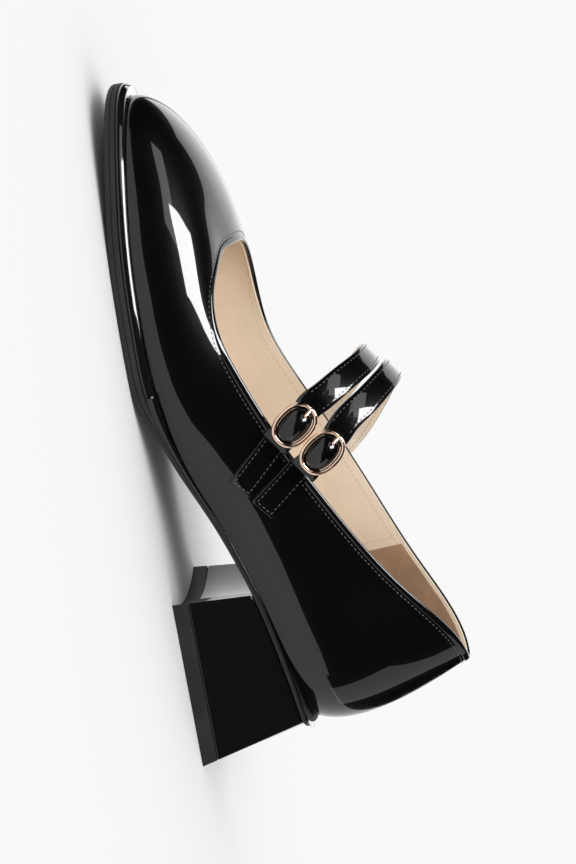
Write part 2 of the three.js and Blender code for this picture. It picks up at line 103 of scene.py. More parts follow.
# foot x, foot out, foot in, rim x, rim out, rim in, rim height out, rim height in, bulge, rise, reach, drop
LAST = {
    "back": [-24.6, -1, -1, -14.5, -1.2, -1.2, 100.5, 100.5, 8.6, 0.24, 0.38, 0.3],
    "counter": [-20, 17, -19, -5, 7.7, -9.9, 100.4, 100.4, 7.4, 0.26, 0.34, 0.3],
    "seat": [-3, 29, -31, 9.4, 16.8, -18.0, 92.8, 94.3, 5.4, 0.32, 0.28, 0.3],
    "quarter": [27, 31, -32, 28.6, 22.3, -23.3, 77.2, 83.2, 3.2, 0.36, 0.23, 0.3],
    "waist": [54, 31, -29, 60, 27.4, -29.5, 60.5, 70.0, 3.1, 0.38, 0.21, 0.3],
    "instep": [80, 33, -31, 88, 30.2, -32.8, 46.4, 56.8, 2.8, 0.39, 0.19, 0.3],
    "joint": [106, 37, -36.5, 113, 30.4, -32.8, 36.8, 44.9, 1.3, 0.4, 0.24, 0.25],
    "ball": [131, 39, -39.5, 126.3, 29.2, -32.2, 32.8, 43.5, 0.7, 0.46, 0.36, 0.12],
    "vamp": [157, 36.2, -37.6, 139.9, 25.9, -28.5, 33.0, 43.4, 0.5, 0.48, 0.47, 0.06],
    "tread": [180.4, 30, -33.3, 149.2, 18.4, -21.0, 36.3, 43.8, 0.2, 0.47, 0.53, 0.04],
    "corner": [201, 22.6, -26, 153.9, 10.8, -13.2, 37.6, 43.6, 0, 0.43, 0.57, 0.03],
    "bend": [212.2, 13.4, -18, 155, 3.7, -8.2, 40.3, 43.0, 0, 0.42, 0.6, 0.03],
    "toe": [214.6, -2.8, -2.8, 155, -2.9, -2.9, 42.2, 42.2, 0, 0.41, 0.6, 0.03],
}

# x, out, in of the outsole's outline
SOLE = {
    "back": [-26.2, 0, 0],
    "back_half": [-25.2, 14, -14],
    "corner": [-21.2, 27.6, -27.6],
    "after_corner": [-18.4, 28.6, -28.6],
    "seat": [0, 30.4, -30.8],
    "breast": [27, 31.6, -32.4],
    "waist": [54, 31.4, -29.6],
    "shank": [78, 33.2, -31.2],
    "joint": [95, 38.0, -32.6],
    "welt_start": [108, 41.8, -35.4],
    "ball": [124, 43.2, -41.4],
    "tread": [141, 42.2, -42.6],
    "vamp": [159, 39.0, -40.9],
    "taper": [184, 32.8, -36],
    "toe_side": [206, 25.7, -29],
    "toe_corner": [217.2, 15.4, -20.2],
    "toe": [219.8, -2.7, -2.7],
}
WELT_FIRST_ROW = 8

# back x, crown of the back edge, half width at the back, front x, half width at the front
HEEL_FLOOR = np.array([-29.6, 2.5, 31.6, 32.0, 35.0])
HEEL_SEAT = np.array([-20.6, 4.6, 27.1, 30.2, 30.3])
HEEL_SEAT_LEVEL = 36.0

# along the strap from the buckle's middle, lift from the buckle's plane, width, shift towards the toe
BUCKLE_RUN = [
    [-10.2, -3.2, 10.8, 0],
    [-8.2, -2.8, 10.8, 0],
    [-6.2, -2.7, 9.8, 0],
    [-4.2, -1.4, 6.0, 0],
    [-1.5, -0.4, 5.6, 0],
    [1.5, -0.4, 5.6, 0],
    [4.2, -1.4, 6.2, 0.1],
    [6.2, -2.7, 9.6, 0.6],
    [8.4, -3.1, 10.2, 1.0],
]
# centre line of each strap above its buckle, and its width
STRAPS = {
    "front": [
        [97.8, 29.8, 66.2, 10.2],
        [102.0, 23.8, 74.0, 9.9],
        [105.1, 14.6, 80.6, 9.4],
        [106.4, 1.0, 83.1, 9.0],
        [104.2, -14.0, 80.7, 9.0],
        [98.2, -26.4, 74.8, 9.0],
        [90.6, -34.4, 67.2, 9.0],
        [84.6, -37.6, 60.8, 9.0],
        [80.8, -37.0, 55.4, 9.0],
        [78.8, -35.9, 50.2, 9.0],
        [77.8, -35.4, 46.0, 9.0],
    ],
    "rear": [
        [88.2, 29.4, 73.7, 10.2],
        [93.3, 23.0, 81.6, 9.9],
        [97.7, 13.8, 87.9, 9.4],
        [99.3, 1.0, 90.3, 9.0],
        [96.6, -14.0, 88.1, 9.0],
        [88.8, -26.4, 82.4, 9.0],
        [79.4, -34.0, 75.0, 9.0],
        [73.0, -37.0, 69.0, 9.0],
        [68.8, -36.5, 63.8, 9.0],
        [66.6, -35.4, 58.8, 9.0],
        [65.4, -34.8, 54.4, 9.0],
    ],
}
BUCKLES = {"front": (90.0, 35.7, 55.4), "rear": (78.7, 35.7, 63.5)}
# lower middle and upper middle of each tab, as x and height on the outer quarter
TABS = {"front": (69.6, 31.4, 84.0, 46.6), "rear": (61.0, 37.9, 73.6, 54.0)}


# ---------------------------------------------------------------- curves and surfaces

def unit(v):
    return v / np.maximum(np.linalg.norm(v, axis=-1, keepdims=True), 1e-9)


def profile_at(x, column):
    """One column of the side profile, smooth along the shoe."""
    x = np.asarray(x, float)
    xs, ys = PROFILE[:, 0], PROFILE[:, column]
    i = np.clip(np.searchsorted(xs, x, side="right") - 1, 0, len(xs) - 2)
    last = len(xs) - 1

    def slope(k):
        a, b = np.maximum(k - 1, 0), np.minimum(k + 1, last)
        return (ys[b] - ys[a]) / (xs[b] - xs[a])

    width = xs[i + 1] - xs[i]
    s = (x - xs[i]) / width
    return (ys[i] * (2 * s**3 - 3 * s**2 + 1) + ys[i + 1] * (3 * s**2 - 2 * s**3)
            + slope(i) * width * (s**3 - 2 * s**2 + s) + slope(i + 1) * width * (s**3 - s**2))


def feather_z(x):
    return profile_at(x, 1)


def underside_z(x):
    return np.maximum(0.0, feather_z(x) - profile_at(x, 2))


def welt_thick(x):
    return np.maximum(0.0, profile_at(x, 3))


def ring_of(rows, out_columns, in_columns):
    """Outer side from heel to toe, then the inner side back to the heel."""
    rows = list(rows)
    outer = [[row[c] for c in out_columns] for row in rows]
    inner = [[row[c] for c in in_columns] for row in rows[-2:0:-1]]
    return np.array(outer + inner, float)


LAST_RING = ring_of(LAST.values(), (0, 1, 3, 4, 6, 8, 9, 10, 11), (0, 2, 3, 5, 7, 8, 9, 10, 11))
SOLE_RING = ring_of(SOLE.values(), (0, 1), (0, 2))
RING = len(LAST_RING)


def ring_at(ring, u):
    """Cubic B-spline round a closed ring of rows."""
    u = np.atleast_1d(np.asarray(u, float))
    n = len(ring)
    i = np.floor(u).astype(int)
    f = (u - i)[:, None]
    a, b, c, d = ring[(i - 1) % n], ring[i % n], ring[(i + 1) % n], ring[(i + 2) % n]
    return ((1 - f) ** 3 * a + (3 * f**3 - 6 * f**2 + 4) * b
            + (-3 * f**3 + 3 * f**2 + 3 * f + 1) * c + f**3 * d) / 6


def outward(ring, u):
    """Unit vector out of a ring, seen from above."""
    here = ring_at(ring, u)
    before, after = ring_at(ring, u - 0.001), ring_at(ring, u + 0.001)
    out = unit(np.stack([before[:, 1] - after[:, 1], after[:, 0] - before[:, 0]], 1))
    wrong = out[:, 0] * (here[:, 0] - MIDDLE_X) + out[:, 1] * here[:, 1] < 0
    out[wrong] *= -1
    return out


def outside(u, t):
    """Outer face of the upper. u runs round the ring and t from the lower edge to the topline, paired."""
    u, t = np.broadcast_arrays(np.asarray(u, float), np.asarray(t, float))
    shape = u.shape
    u, t = u.ravel(), t.ravel()[:, None]
    row = ring_at(LAST_RING, u)
    out = outward(LAST_RING, u)
    foot = np.stack([row[:, 0], row[:, 1], feather_z(row[:, 0])], 1)
    rim = row[:, 2:5]
    bulge, rise, reach, drop = row[:, 5:6], row[:, 6:7], row[:, 7:8], row[:, 8:9]
    height = rim[:, 2:3] - foot[:, 2:3]
    low = np.hstack([foot[:, :2] + out * bulge, foot[:, 2:3] + height * rise])
    high = np.hstack([
        rim[:, :2] + (foot[:, :2] - rim[:, :2]) * reach + out * bulge / 2,
        rim[:, 2:3] - height * drop])
    p = ((1 - t) ** 3 * foot + 3 * (1 - t) ** 2 * t * low + 3 * (1 - t) * t**2 * high + t**3 * rim)
    return p.reshape(*shape, 3)


def outside_normal(u, t):
    u, t = np.broadcast_arrays(np.asarray(u, float), np.asarray(t, float))
    e = 0.01
    along = outside(u + e, t) - outside(u - e, t)
    up = outside(u, np.minimum(t + e, 1)) - outside(u, np.maximum(t - e, 0))
    n = unit(np.cross(along, up))
    out = outward(LAST_RING, u.ravel()).reshape(*u.shape, 2)
    lean = n[..., 0] * out[..., 0] + n[..., 1] * out[..., 1] + n[..., 2] * 0.4
    return np.where(lean[..., None] < 0, -n, n)


def layer(u, t, depth):
    """A face inside the upper at a depth below its outer face, level along the lower edge."""
    u, t = np.broadcast_arrays(np.asarray(u, float), np.asarray(t, float))
    out = outward(LAST_RING, u.ravel()).reshape(*u.shape, 2)
    level = np.concatenate([out, np.zeros(u.shape + (1,))], -1)
    k = np.minimum(1, t / 0.18)[..., None]
    n = unit(level * (1 - k) + outside_normal(u, t) * k)
    return outside(u, t) - n * np.asarray(depth, float)[..., None]


def below_rim(u, distance, depth=0.0):
    """The t at a distance down the wall from the topline."""
    ts = np.linspace(1, 0.3, 71)
    uu, tt = np.meshgrid(u, ts, indexing="ij")
    p = layer(uu, tt, np.full(uu.shape, depth))
    run = np.concatenate([np.zeros((len(p), 1)),
                          np.cumsum(np.linalg.norm(np.diff(p, axis=1), axis=2), axis=1)], 1)
    return np.array([np.interp(distance, r, ts) for r in run])


def evenly(points, closed, pitch):
    """Even steps along a polyline: for each, the point before it and the share of the way on."""
    loop = np.vstack([points, points[:1]]) if closed else points
    run = np.concatenate([[0], np.cumsum(np.linalg.norm(np.diff(loop, axis=0), axis=1))])
    count = max(1, int(round(run[-1] / pitch)))
    at = (np.arange(count) + 0.5) * run[-1] / count
    at = np.interp(at, run, np.arange(len(run)))
    i = np.minimum(np.floor(at).astype(int), len(loop) - 2)
    return i, (at - i)[:, None]


def outline_pairs(ring, inset, first_row=0, per_row=10):
    """Outer and inner outline points from heel to toe, moved in from the edge."""
    half = len(ring) // 2
    u = first_row + np.arange((half - first_row) * per_row + 1) / per_row

    def place(v):
        p = ring_at(ring, v)[:, :2]
        return p - outward(ring, v) * inset

    return place(u), place(2 * half - u)


def spline_through(rows, steps):
    """Centripetal curve through rows of x, y, z and width."""
    p = np.array(rows, float)
    first, last = 2 * p[0] - p[1], 2 * p[-1] - p[-2]
    q = np.vstack([first, p, last])
    made = []
    for i in range(len(p) - 1):
        a, b, c, d = q[i:i + 4]
        knots = [0.0]
        for m, n in ((a, b), (b, c), (c, d)):
            knots.append(knots[-1] + max(np.linalg.norm(n[:3] - m[:3]), 1e-6) ** 0.5)
        t0, t1, t2, t3 = knots
        end = steps if i < len(p) - 2 else steps + 1
        for k in range(end):
            t = t1 + (t2 - t1) * k / steps
            ab = (t1 - t) / (t1 - t0) * a + (t - t0) / (t1 - t0) * b
            bc = (t2 - t) / (t2 - t1) * b + (t - t1) / (t2 - t1) * c
            cd = (t3 - t) / (t3 - t2) * c + (t - t2) / (t3 - t2) * d
            abc = (t2 - t) / (t2 - t0) * ab + (t - t0) / (t2 - t0) * bc
            bcd = (t3 - t) / (t3 - t1) * bc + (t - t1) / (t3 - t1) * cd
            made.append((t2 - t) / (t2 - t1) * abc + (t - t1) / (t2 - t1) * bcd)
    return np.array(made)


def rounded_bar(width, low, high, radius, crown=0.0, corner=4, top=8):
    """Closed cross-section of a strip: rounded at its four corners and crowned on top."""
    half = width / 2
    points = []
    for k in range(top + 1):
        a = -half + radius + (width - 2 * radius) * k / top
        points.append((a, high + crown * (1 - (a / half) ** 2)))
    for turn, (cx, cy) in enumerate([(half - radius, high - radius), (half - radius, low + radius),
                                     (-half + radius, low + radius), (-half + radius, high - radius)]):
        start = math.pi / 2 - turn * math.pi / 2
        for k in range(0 if turn else 1, corner + 1):
            if turn == 3 and k == corner:
                continue
            angle = start - (math.pi / 2) * k / corner
            points.append((cx + radius * math.cos(angle), cy + radius * math.sin(angle)))
    return np.array(points)


# ---------------------------------------------------------------- meshes

def new_piece(name, points, faces):
    mesh = bpy.data.meshes.new(name)
    mesh.from_pydata((np.asarray(points, float) * MM).tolist(), [], faces)
    mesh.validate()
    mesh.update()
    mesh.polygons.foreach_set("use_smooth", [True] * len(mesh.polygons))
    made = bpy.data.objects.new(name, mesh)
    bpy.context.scene.collection.objects.link(made)
    return made


def grid_faces(rows, columns, start=0, close_rows=False, close_columns=False, flip=False):
    faces = []
    for i in range(rows if close_rows else rows - 1):
        j = (i + 1) % rows
        for k in range(columns if close_columns else columns - 1):
            m = (k + 1) % columns
            face = [i * columns + k, j * columns + k, j * columns + m, i * columns + m]
            if flip:
                face.reverse()
            faces.append([v + start for v in face])
    return faces


def wall_piece(name, outer, inner, closed=True):
    """A sheet with two faces and its edges, from two grids of the same size."""
    rows, columns = outer.shape[:2]
    n = rows * columns
    points = np.vstack([outer.reshape(-1, 3), inner.reshape(-1, 3)])
    faces = grid_faces(rows, columns, 0, closed)
    faces += grid_faces(rows, columns, n, closed, flip=True)
    for i in range(rows if closed else rows - 1):
        j = (i + 1) % rows
        a, b = i * columns, j * columns
        faces.append([b, a, a + n, b + n])
        a, b = a + columns - 1, b + columns - 1
        faces.append([a, b, b + n, a + n])
    if not closed:
        for k in range(columns - 1):
            faces.append([k, k + 1, k + 1 + n, k + n])
            e = (rows - 1) * columns + k
            faces.append([e + 1, e, e + n, e + 1 + n])
    return new_piece(name, points, faces)


def swept_piece(name, centres, across, up, section, closed=False, scale=None):
    """A closed section swept along stations. scale widens the section's first axis per station."""
    count, k = len(centres), len(section)
    wide = np.ones(count) if scale is None else scale
    points = (centres[:, None] + across[:, None] * (section[None, :, :1] * wide[:, None, None])
              + up[:, None] * section[None, :, 1:])
    faces = grid_faces(count, k, 0, closed, True, flip=True)
    points = points.reshape(-1, 3)
    if not closed:
        faces.append(list(range(k)))
        faces.append([(count - 1) * k + m for m in reversed(range(k))])
    return new_piece(name, points, faces)


def thread_piece(name, centres, along, up, long=1.6, thick=0.42, bow=0.1):
    """A row of short rounded stitches, each lying along its line."""
    sides, rings = 6, 5
    across = unit(np.cross(along, up))
    points, faces = [], []
    for c, a, b, w in zip(centres, along, up, across):
        start = len(points)
        for i in range(rings):
            s = i / (rings - 1) * 2 - 1
            r = thick / 2 * math.sqrt(max(0.06, 1 - s * s * 0.94))
            mid = c + a * (s * long / 2) + b * (bow * (1 - s * s) - 0.04)
            for k in range(sides):
                turn = 2 * math.pi * k / sides
                points.append(mid + w * (r * math.cos(turn)) + b * (r * math.sin(turn)))
        faces += grid_faces(rings, sides, start, False, True)
        faces.append([start + k for k in reversed(range(sides))])
        faces.append([start + (rings - 1) * sides + k for k in range(sides)])
    return new_piece(name, points, faces)


def ladder_piece(name, loops, low_z, high_z, across=24):
    """A plate between outline loops: loops is a list of (inset pairs, up), bottom first."""
    rows = len(loops[0][0][0])
    k = np.linspace(0, 1, across + 1)[None, :, None]
    points, faces = [], []

    def cap(pairs, height):
        a, b = pairs
        xy = a[:, None] * (1 - k) + b[:, None] * k
        start = len(points)
        points.extend(np.concatenate([xy, height(xy[..., :1])], -1).reshape(-1, 3))
        return start

    low = cap(loops[0][0], low_z)
    high = cap(loops[-1][0], high_z)
    columns = across + 1
    faces += grid_faces(rows, columns, low)
    faces += grid_faces(rows, columns, high, flip=True)
    rails = [[[low + i * columns + (across if side else 0) for i in range(rows)] for side in (0, 1)]]
    for pairs, up in loops[1:-1]:
        rail = []
        for p in pairs:
            start = len(points)
            z = low_z(p[:, :1]) * (1 - up) + high_z(p[:, :1]) * up
            points.extend(np.hstack([p, z]))
            rail.append(list(range(start, start + rows)))
        rails.append(rail)
    rails.append([[high + i * columns + (across if side else 0) for i in range(rows)] for side in (0, 1)])
    for p, q in zip(rails, rails[1:]):
        for i in range(rows - 1):
            faces.append([p[0][i], p[0][i + 1], q[0][i + 1], q[0][i]])
            faces.append([p[1][i + 1], p[1][i], q[1][i], q[1][i + 1]])
    for i in (0, rows - 1):
        left = [rail[0][i] for rail in rails]
        right = [rail[1][i] for rail in rails]
        face = ([low + i * columns + m for m in range(columns)] + right[1:-1]
                + [high + i * columns + m for m in reversed(range(columns))] + left[1:-1][::-1])
        if i:
            face.reverse()
        if np.linalg.norm(np.array(points[left[0]]) - np.array(points[right[0]])) > 0.01:
            faces.append(face)
    made = new_piece(name, points, faces)
    weld(made)
    return made


def weld(piece, distance=0.002 * MM):
    bm = bmesh.new()
    bm.from_mesh(piece.data)
    bmesh.ops.remove_doubles(bm, verts=bm.verts, dist=distance)
    bmesh.ops.recalc_face_normals(bm, faces=bm.faces)
    bm.to_mesh(piece.data)
    bm.free()
    piece.data.update()


def soften(piece, angle=40, bevel=None, segments=3):
    """Bevels the sharp edges when a bevel width is given, else marks them sharp; keeps the rest of the
    shading smooth.
    """
    if bevel:
        cut = piece.modifiers.new("edges", "BEVEL")
        cut.width = bevel * MM
        cut.segments = segments
        cut.limit_method = "ANGLE"
        cut.angle_limit = math.radians(angle)
        cut.harden_normals = False
        even = piece.modifiers.new("even", "WEIGHTED_NORMAL")
        even.keep_sharp = True
    else:
        piece.data.set_sharp_from_angle(angle=math.radians(angle))


def place(piece, slot, material, replaces=()):
    piece.data.materials.clear()
    piece.data.materials.append(material)
    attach(piece, "root")
    if replaces:
        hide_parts(*replaces)


# ---------------------------------------------------------------- materials

class Shader:
    """A material's node tree, built node by node."""

    def __init__(self, name):
        self.material = bpy.data.materials.new(name)
        self.material.use_nodes = True
        self.nodes = self.material.node_tree.nodes
        self.links = self.material.node_tree.links
        self.surface = self.nodes["Principled BSDF"]

    def add(self, kind, settings=None, **inputs):
        made = self.nodes.new(kind)
        for key, value in (settings or {}).items():
            setattr(made, key, value)
        for key, value in inputs.items():
            self.put(made, key, value)
        return made

    def put(self, node, key, value):
        socket = node.inputs[key]
        if isinstance(value, bpy.types.NodeSocket):
            self.links.new(value, socket)
        else:
            socket.default_value = value

    def set(self, **inputs):
        for key, value in inputs.items():
            self.put(self.surface, key.replace("_", " "), value)

    def place(self):
        return self.add("ShaderNodeTexCoord").outputs["Object"]

    def noise(self, scale, detail=3.0, roughness=0.5, vector=None):
        made = self.add("ShaderNodeTexNoise")
        made.inputs["Scale"].default_value = scale
        made.inputs["Detail"].default_value = detail
        made.inputs["Roughness"].default_value = roughness
        self.links.new(vector or self.place(), made.inputs["Vector"])
        return made.outputs["Fac"]

    def span(self, value, low, high, to_low, to_high):
        made = self.add("ShaderNodeMapRange")
        for key, v in (("Value", value), ("From Min", low), ("From Max", high),
                       ("To Min", to_low), ("To Max", to_high)):
            self.put(made, key, v)
        return made.outputs["Result"]

    def ramp(self, value, stops):
        made = self.add("ShaderNodeValToRGB")
        self.links.new(value, made.inputs["Fac"])
        while len(made.color_ramp.elements) < len(stops):
            made.color_ramp.elements.new(0.5)
        for element, (at, colour) in zip(made.color_ramp.elements, stops):
            element.position = at
            element.color = (*colour[:3], 1)
        return made.outputs["Color"]

    def bump(self, height, strength, distance):
        made = self.add("ShaderNodeBump")
        made.inputs["Strength"].default_value = strength
        made.inputs["Distance"].default_value = distance
        self.links.new(height, made.inputs["Height"])
        return made.outputs["Normal"]


def patent_material(name, colour, gloss):
    """Black patent: a dark leather under a clear, very smooth lacquer with the faintest ripple."""
    s = Shader(name)
    at = s.place()
    ripple = s.noise(34.0, 1.0, 0.4, at)
    grain = s.noise(900.0, 2.0, 0.5, at)
    under = s.bump(grain, 0.08, 0.0002)
    skin = s.bump(ripple, 0.12, 0.0036)
    tone = s.span(s.noise(60.0, 2.0, 0.5, at), 0.3, 0.7, 0.85, 1.15)
    mixed = s.add("ShaderNodeMix", {"data_type": "RGBA", "blend_type": "MULTIPLY"})
    mixed.inputs[0].default_value = 1.0
    mixed.inputs[6].default_value = (*colour, 1)
    s.links.new(s.add("ShaderNodeCombineColor", None, Red=tone, Green=tone, Blue=tone).outputs[0],
                mixed.inputs[7])
    s.set(Base_Color=mixed.outputs[2], Roughness=0.3, Specular_IOR_Level=0.06, Coat_Weight=1.0,
          Coat_Roughness=gloss, Coat_IOR=1.5)
    s.links.new(under, s.surface.inputs["Normal"])
    s.links.new(skin, s.surface.inputs["Coat Normal"])
    return s.material


def lacquer_material(name, colour, gloss):
    """Hard lacquer of the heel and the welt."""
    s = Shader(name)
    at = s.place()
    ripple = s.noise(40.0, 1.0, 0.4, at)
    dust = s.span(s.noise(420.0, 4.0, 0.6, at), 0.45, 0.8, 0.12, 0.2)
    s.set(Base_Color=(*colour, 1), Roughness=dust, Specular_IOR_Level=0.08, Coat_Weight=1.0,
          Coat_Roughness=gloss)
    s.links.new(s.bump(ripple, 0.05, 0.002), s.surface.inputs["Coat Normal"])
    return s.material


def rubber_material(name, colour, rough):
    s = Shader(name)
    at = s.place()
    grain = s.noise(1400.0, 4.0, 0.6, at)
    patch = s.noise(70.0, 3.0, 0.55, at)
    tone = s.ramp(patch, [(0.3, [c * 0.8 for c in colour]), (0.7, [c * 1.25 for c in colour])])
    s.set(Base_Color=tone, Roughness=s.span(patch, 0.3, 0.7, rough - 0.06, rough + 0.06),
          Specular_IOR_Level=0.4)
    s.links.new(s.bump(grain, 0.25, 0.0003), s.surface.inputs["Normal"])
    return s.material


def lining_material(name, colour, rough, grain_size=700.0, depth=0.2):
    """Smooth lining leather with a fine pore and soft unevenness of tone."""
    s = Shader(name)
    at = s.place()
    pore = s.add("ShaderNodeTexVoronoi")
    pore.inputs["Scale"].default_value = grain_size
    s.links.new(at, pore.inputs["Vector"])
    cloud = s.noise(45.0, 4.0, 0.55, at)
    tone = s.ramp(cloud, [(0.3, [c * 0.93 for c in colour]), (0.7, [min(1, c * 1.04) for c in colour])])
    s.set(Base_Color=tone, Roughness=s.span(cloud, 0.3, 0.7, rough - 0.05, rough + 0.05),
          Specular_IOR_Level=0.35, Sheen_Weight=0.08)
    s.links.new(s.bump(pore.outputs["Distance"], depth, 0.00025), s.surface.inputs["Normal"])
    return s.material


def suede_material(name, colour):
    s = Shader(name)
    at = s.place()
    nap = s.noise(1600.0, 5.0, 0.7, at)
    brush = s.noise(90.0, 3.0, 0.6, at)
    tone = s.ramp(brush, [(0.3, [c * 0.8 for c in colour]), (0.7, [c * 1.15 for c in colour])])
    s.set(Base_Color=tone, Roughness=0.95, Specular_IOR_Level=0.15, Sheen_Weight=0.35,
          Sheen_Roughness=0.5)
    s.links.new(s.bump(nap, 0.5, 0.0005), s.surface.inputs["Normal"])
    return s.material


def thread_material(name, colour, rough=0.5):
    s = Shader(name)
    wave = s.add("ShaderNodeTexWave", {"wave_type": "BANDS", "bands_direction": "DIAGONAL"})
    wave.inputs["Scale"].default_value = 900.0
    s.links.new(s.place(), wave.inputs["Vector"])
    s.set(Base_Color=(*colour, 1), Roughness=rough, Sheen_Weight=0.2)
    s.links.new(s.bump(wave.outputs["Fac"], 0.4, 0.0002), s.surface.inputs["Normal"])
    return s.material


def metal_material(name, colour, rough):
    s = Shader(name)
    at = s.place()
    wear = s.noise(300.0, 4.0, 0.6, at)
    s.set(Base_Color=(*colour, 1), Metallic=1.0,
          Roughness=s.span(wear, 0.35, 0.7, rough * 0.7, rough * 1.5))
    s.links.new(s.bump(s.noise(120.0, 2.0, 0.5, at), 0.05, 0.0006), s.surface.inputs["Normal"])
    return s.material


# ---------------------------------------------------------------- what can be set

def length(name, text, mm, most=60.0):
    return bpy.props.FloatProperty(name=name, description=text, default=mm * MM, min=0.0,
                                   max=most * MM, precision=5, unit="LENGTH")


def share(name, text, value, most=1.0):
    return bpy.props.FloatProperty(name=name, description=text, default=value, min=0.0, max=most,
                                   subtype="FACTOR")


def colour(name, text, value):
    return bpy.props.FloatVectorProperty(name=name, description=text, default=value, size=3,
                                         min=0.0, max=1.0, subtype="COLOR")


class UpperSettings(bpy.types.PropertyGroup):
    leather: length("Leather thickness", "Thickness of the outer patent leather", 0.95, 2.0)
    lining: length("Lining thickness", "Thickness of the lining leather", 0.6, 1.2)
    binding: length("Binding width", "How far the folded topline edge comes down outside", 2.2, 6.0)
    seam: length("Seam depth", "Depth of the closed seam down the heel", 0.3, 1.0)
    patent: colour("Patent colour", "Colour of the patent leather", (0.0025, 0.0025, 0.0027))
    gloss: share("Patent roughness", "Roughness of the clear lacquer", 0.025)
    lining_tone: colour("Lining colour", "Colour of the lining leather", (0.93, 0.80, 0.645))
    grip_reach: bpy.props.FloatProperty(
        name="Heel grip reach",
        description="How far round each side the heel grip comes, in rows of the last",
        default=3.0, min=1.0, max=5.0, subtype="FACTOR")
    grip_tone: colour("Heel grip colour", "Colour of the suede heel grip", (0.42, 0.27, 0.17))


class StitchSettings(bpy.types.PropertyGroup):
    pitch: length("Stitch pitch", "Distance from one stitch to the next", 1.9, 6.0)
    long: length("Stitch length", "Visible length of one stitch", 1.25, 5.0)
    thread: length("Thread thickness", "Thickness of the sewing thread", 0.36, 1.0)
    from_edge: length("Distance from the edge", "From the edge of a strap or tab to its stitches", 1.45, 4.0)
    below_binding: length("Distance below the topline", "From the topline to its row of stitches", 3.2, 9.0)
    outer_tone: colour("Outer thread colour", "Thread on the patent leather", (0.075, 0.072, 0.068))
    inner_tone: colour("Lining thread colour", "Thread on the lining", (0.72, 0.58, 0.43))


class SoleSettings(bpy.types.PropertyGroup):
    groove: length("Edge groove", "Depth of the fine groove round the outsole's edge", 0.3, 1.0)
    rubber: colour("Outsole colour", "Colour of the outsole", (0.017, 0.016, 0.016))
    edge_gloss: colour("Welt colour", "Colour of the lacquered welt", (0.006, 0.006, 0.0065))
    sock: colour("Insole colour", "Colour of the insole leather", (0.91, 0.77, 0.62))


class HeelSettings(bpy.types.PropertyGroup):
    edge: length("Edge rounding", "Bevel along the heel's edges", 0.55, 2.0)
    lacquer: colour("Heel colour", "Colour of the lacquered heel", (0.005, 0.005, 0.0055))
    lift: colour("Top lift colour", "Colour of the top lift", (0.014, 0.0135, 0.0135))


class StrapSettings(bpy.types.PropertyGroup):
    backing: length("Backing thickness", "Thickness of the strap's lining", 0.5, 1.0)
    crown: length("Crown", "How much the strap's face swells at its middle", 0.38, 1.0)
    hole: length("Hole length", "Long way of the oval adjusting hole", 2.6, 5.0)
    hole_at: share("Hole place", "Where along the strap the adjusting hole sits", 0.205)


class BuckleSettings(bpy.types.PropertyGroup):
    metal: colour("Buckle colour", "Colour of the buckle's metal", (0.95, 0.67, 0.51))
    rough: share("Buckle roughness", "Roughness of the buckle's metal", 0.2)


class StageSettings(bpy.types.PropertyGroup):
    floor_tone: colour("Floor colour", "Colour of the studio floor", (0.86, 0.86, 0.86))
    key: share("Key brightness", "Brightness of the softbox above, against the floor's", 22.0, 60.0)
    fill: share("Fill brightness", "Brightness of the softboxes at the sides", 1.5, 20.0)
    sun: share("Sun", "Strength of the soft overall light that gives the shadow", 0.9, 10.0)
    sky: share("Surroundings", "Brightness of the pale surroundings", 0.9, 2.0)


# ---------------------------------------------------------------- upper, lining and stitching

def ring_stations(per_row=10):
    u = np.arange(RING * per_row) / per_row
    close = np.array([0.008, 0.016, 0.025, 0.035, 0.05])
    return np.unique(np.concatenate([u, close, RING - close]))


def seam_dip(u, depth):
    off = np.minimum(u, RING - u)
    return depth * np.exp(-(off / 0.018) ** 2)


def build_upper(settings, material):
    u = ring_stations()
    t = np.concatenate([np.linspace(0, 0.06, 4)[:-1], np.linspace(0.06, 1, 44)])
    uu, tt = np.meshgrid(u, t, indexing="ij")
    dip = seam_dip(uu, settings.seam / MM)
    outer = layer(uu, tt, dip)
    inner = layer(uu, tt, np.full(uu.shape, settings.leather / MM))
    shell = wall_piece("upper_shell", outer, inner)
    soften(shell, 50)
    place(shell, "upper_patent", material, ["upper"])


def rim_section(u, points):
    """A cross-section laid on the topline at each station: points of (distance down, offset out)."""
    rows = []
    for down, out in points:
        t = below_rim(u, max(0.0, down))
        p = layer(u, t, np.full(len(u), -out))
        if down < 0:
            step = outside(u, np.ones(len(u))) - outside(u, np.full(len(u), 0.985))
            p = p + unit(step) * (-down)
        rows.append(p)
    return np.stack(rows, 1)


def ring_strip(name, u, points):
    grid = rim_section(u, points)
    rows, columns = grid.shape[:2]
    faces = grid_faces(rows, columns, 0, True, True)
    made = new_piece(name, grid.reshape(-1, 3), faces)
    weld(made)
    return made


def build_binding(settings, material):
    w = settings.binding / MM
    deep = settings.leather / MM + 0.02
    points = [
        (w, 0.02), (w - 0.02, 0.2), (w - 0.25, 0.34), (w * 0.6, 0.42), (0.6, 0.42), (0.1, 0.36),
        (-0.25, 0.12), (-0.42, -0.22), (-0.42, -0.6), (-0.25, -0.95), (0.1, -deep - 0.14),
        (1.2, -deep - 0.14), (1.2, -deep), (0.12, -deep), (-0.03, -0.5), (0.12, 0.015),
    ]
    made = ring_strip("topline_binding", ring_stations(), points)
    place(made, "upper_patent", material)


def build_lining(settings, material):
    u = ring_stations(8)
    t = np.linspace(0.0, 1, 36)
    uu, tt = np.meshgrid(u, t, indexing="ij")
    near = WALL - settings.lining / MM + 0.02
    outer = layer(uu, tt, np.full(uu.shape, near))
    inner = layer(uu, tt, np.full(uu.shape, WALL))
    made = wall_piece("lining", outer, inner)
    soften(made, 50, 0.12, 2)
    place(made, "insole_leather", material)


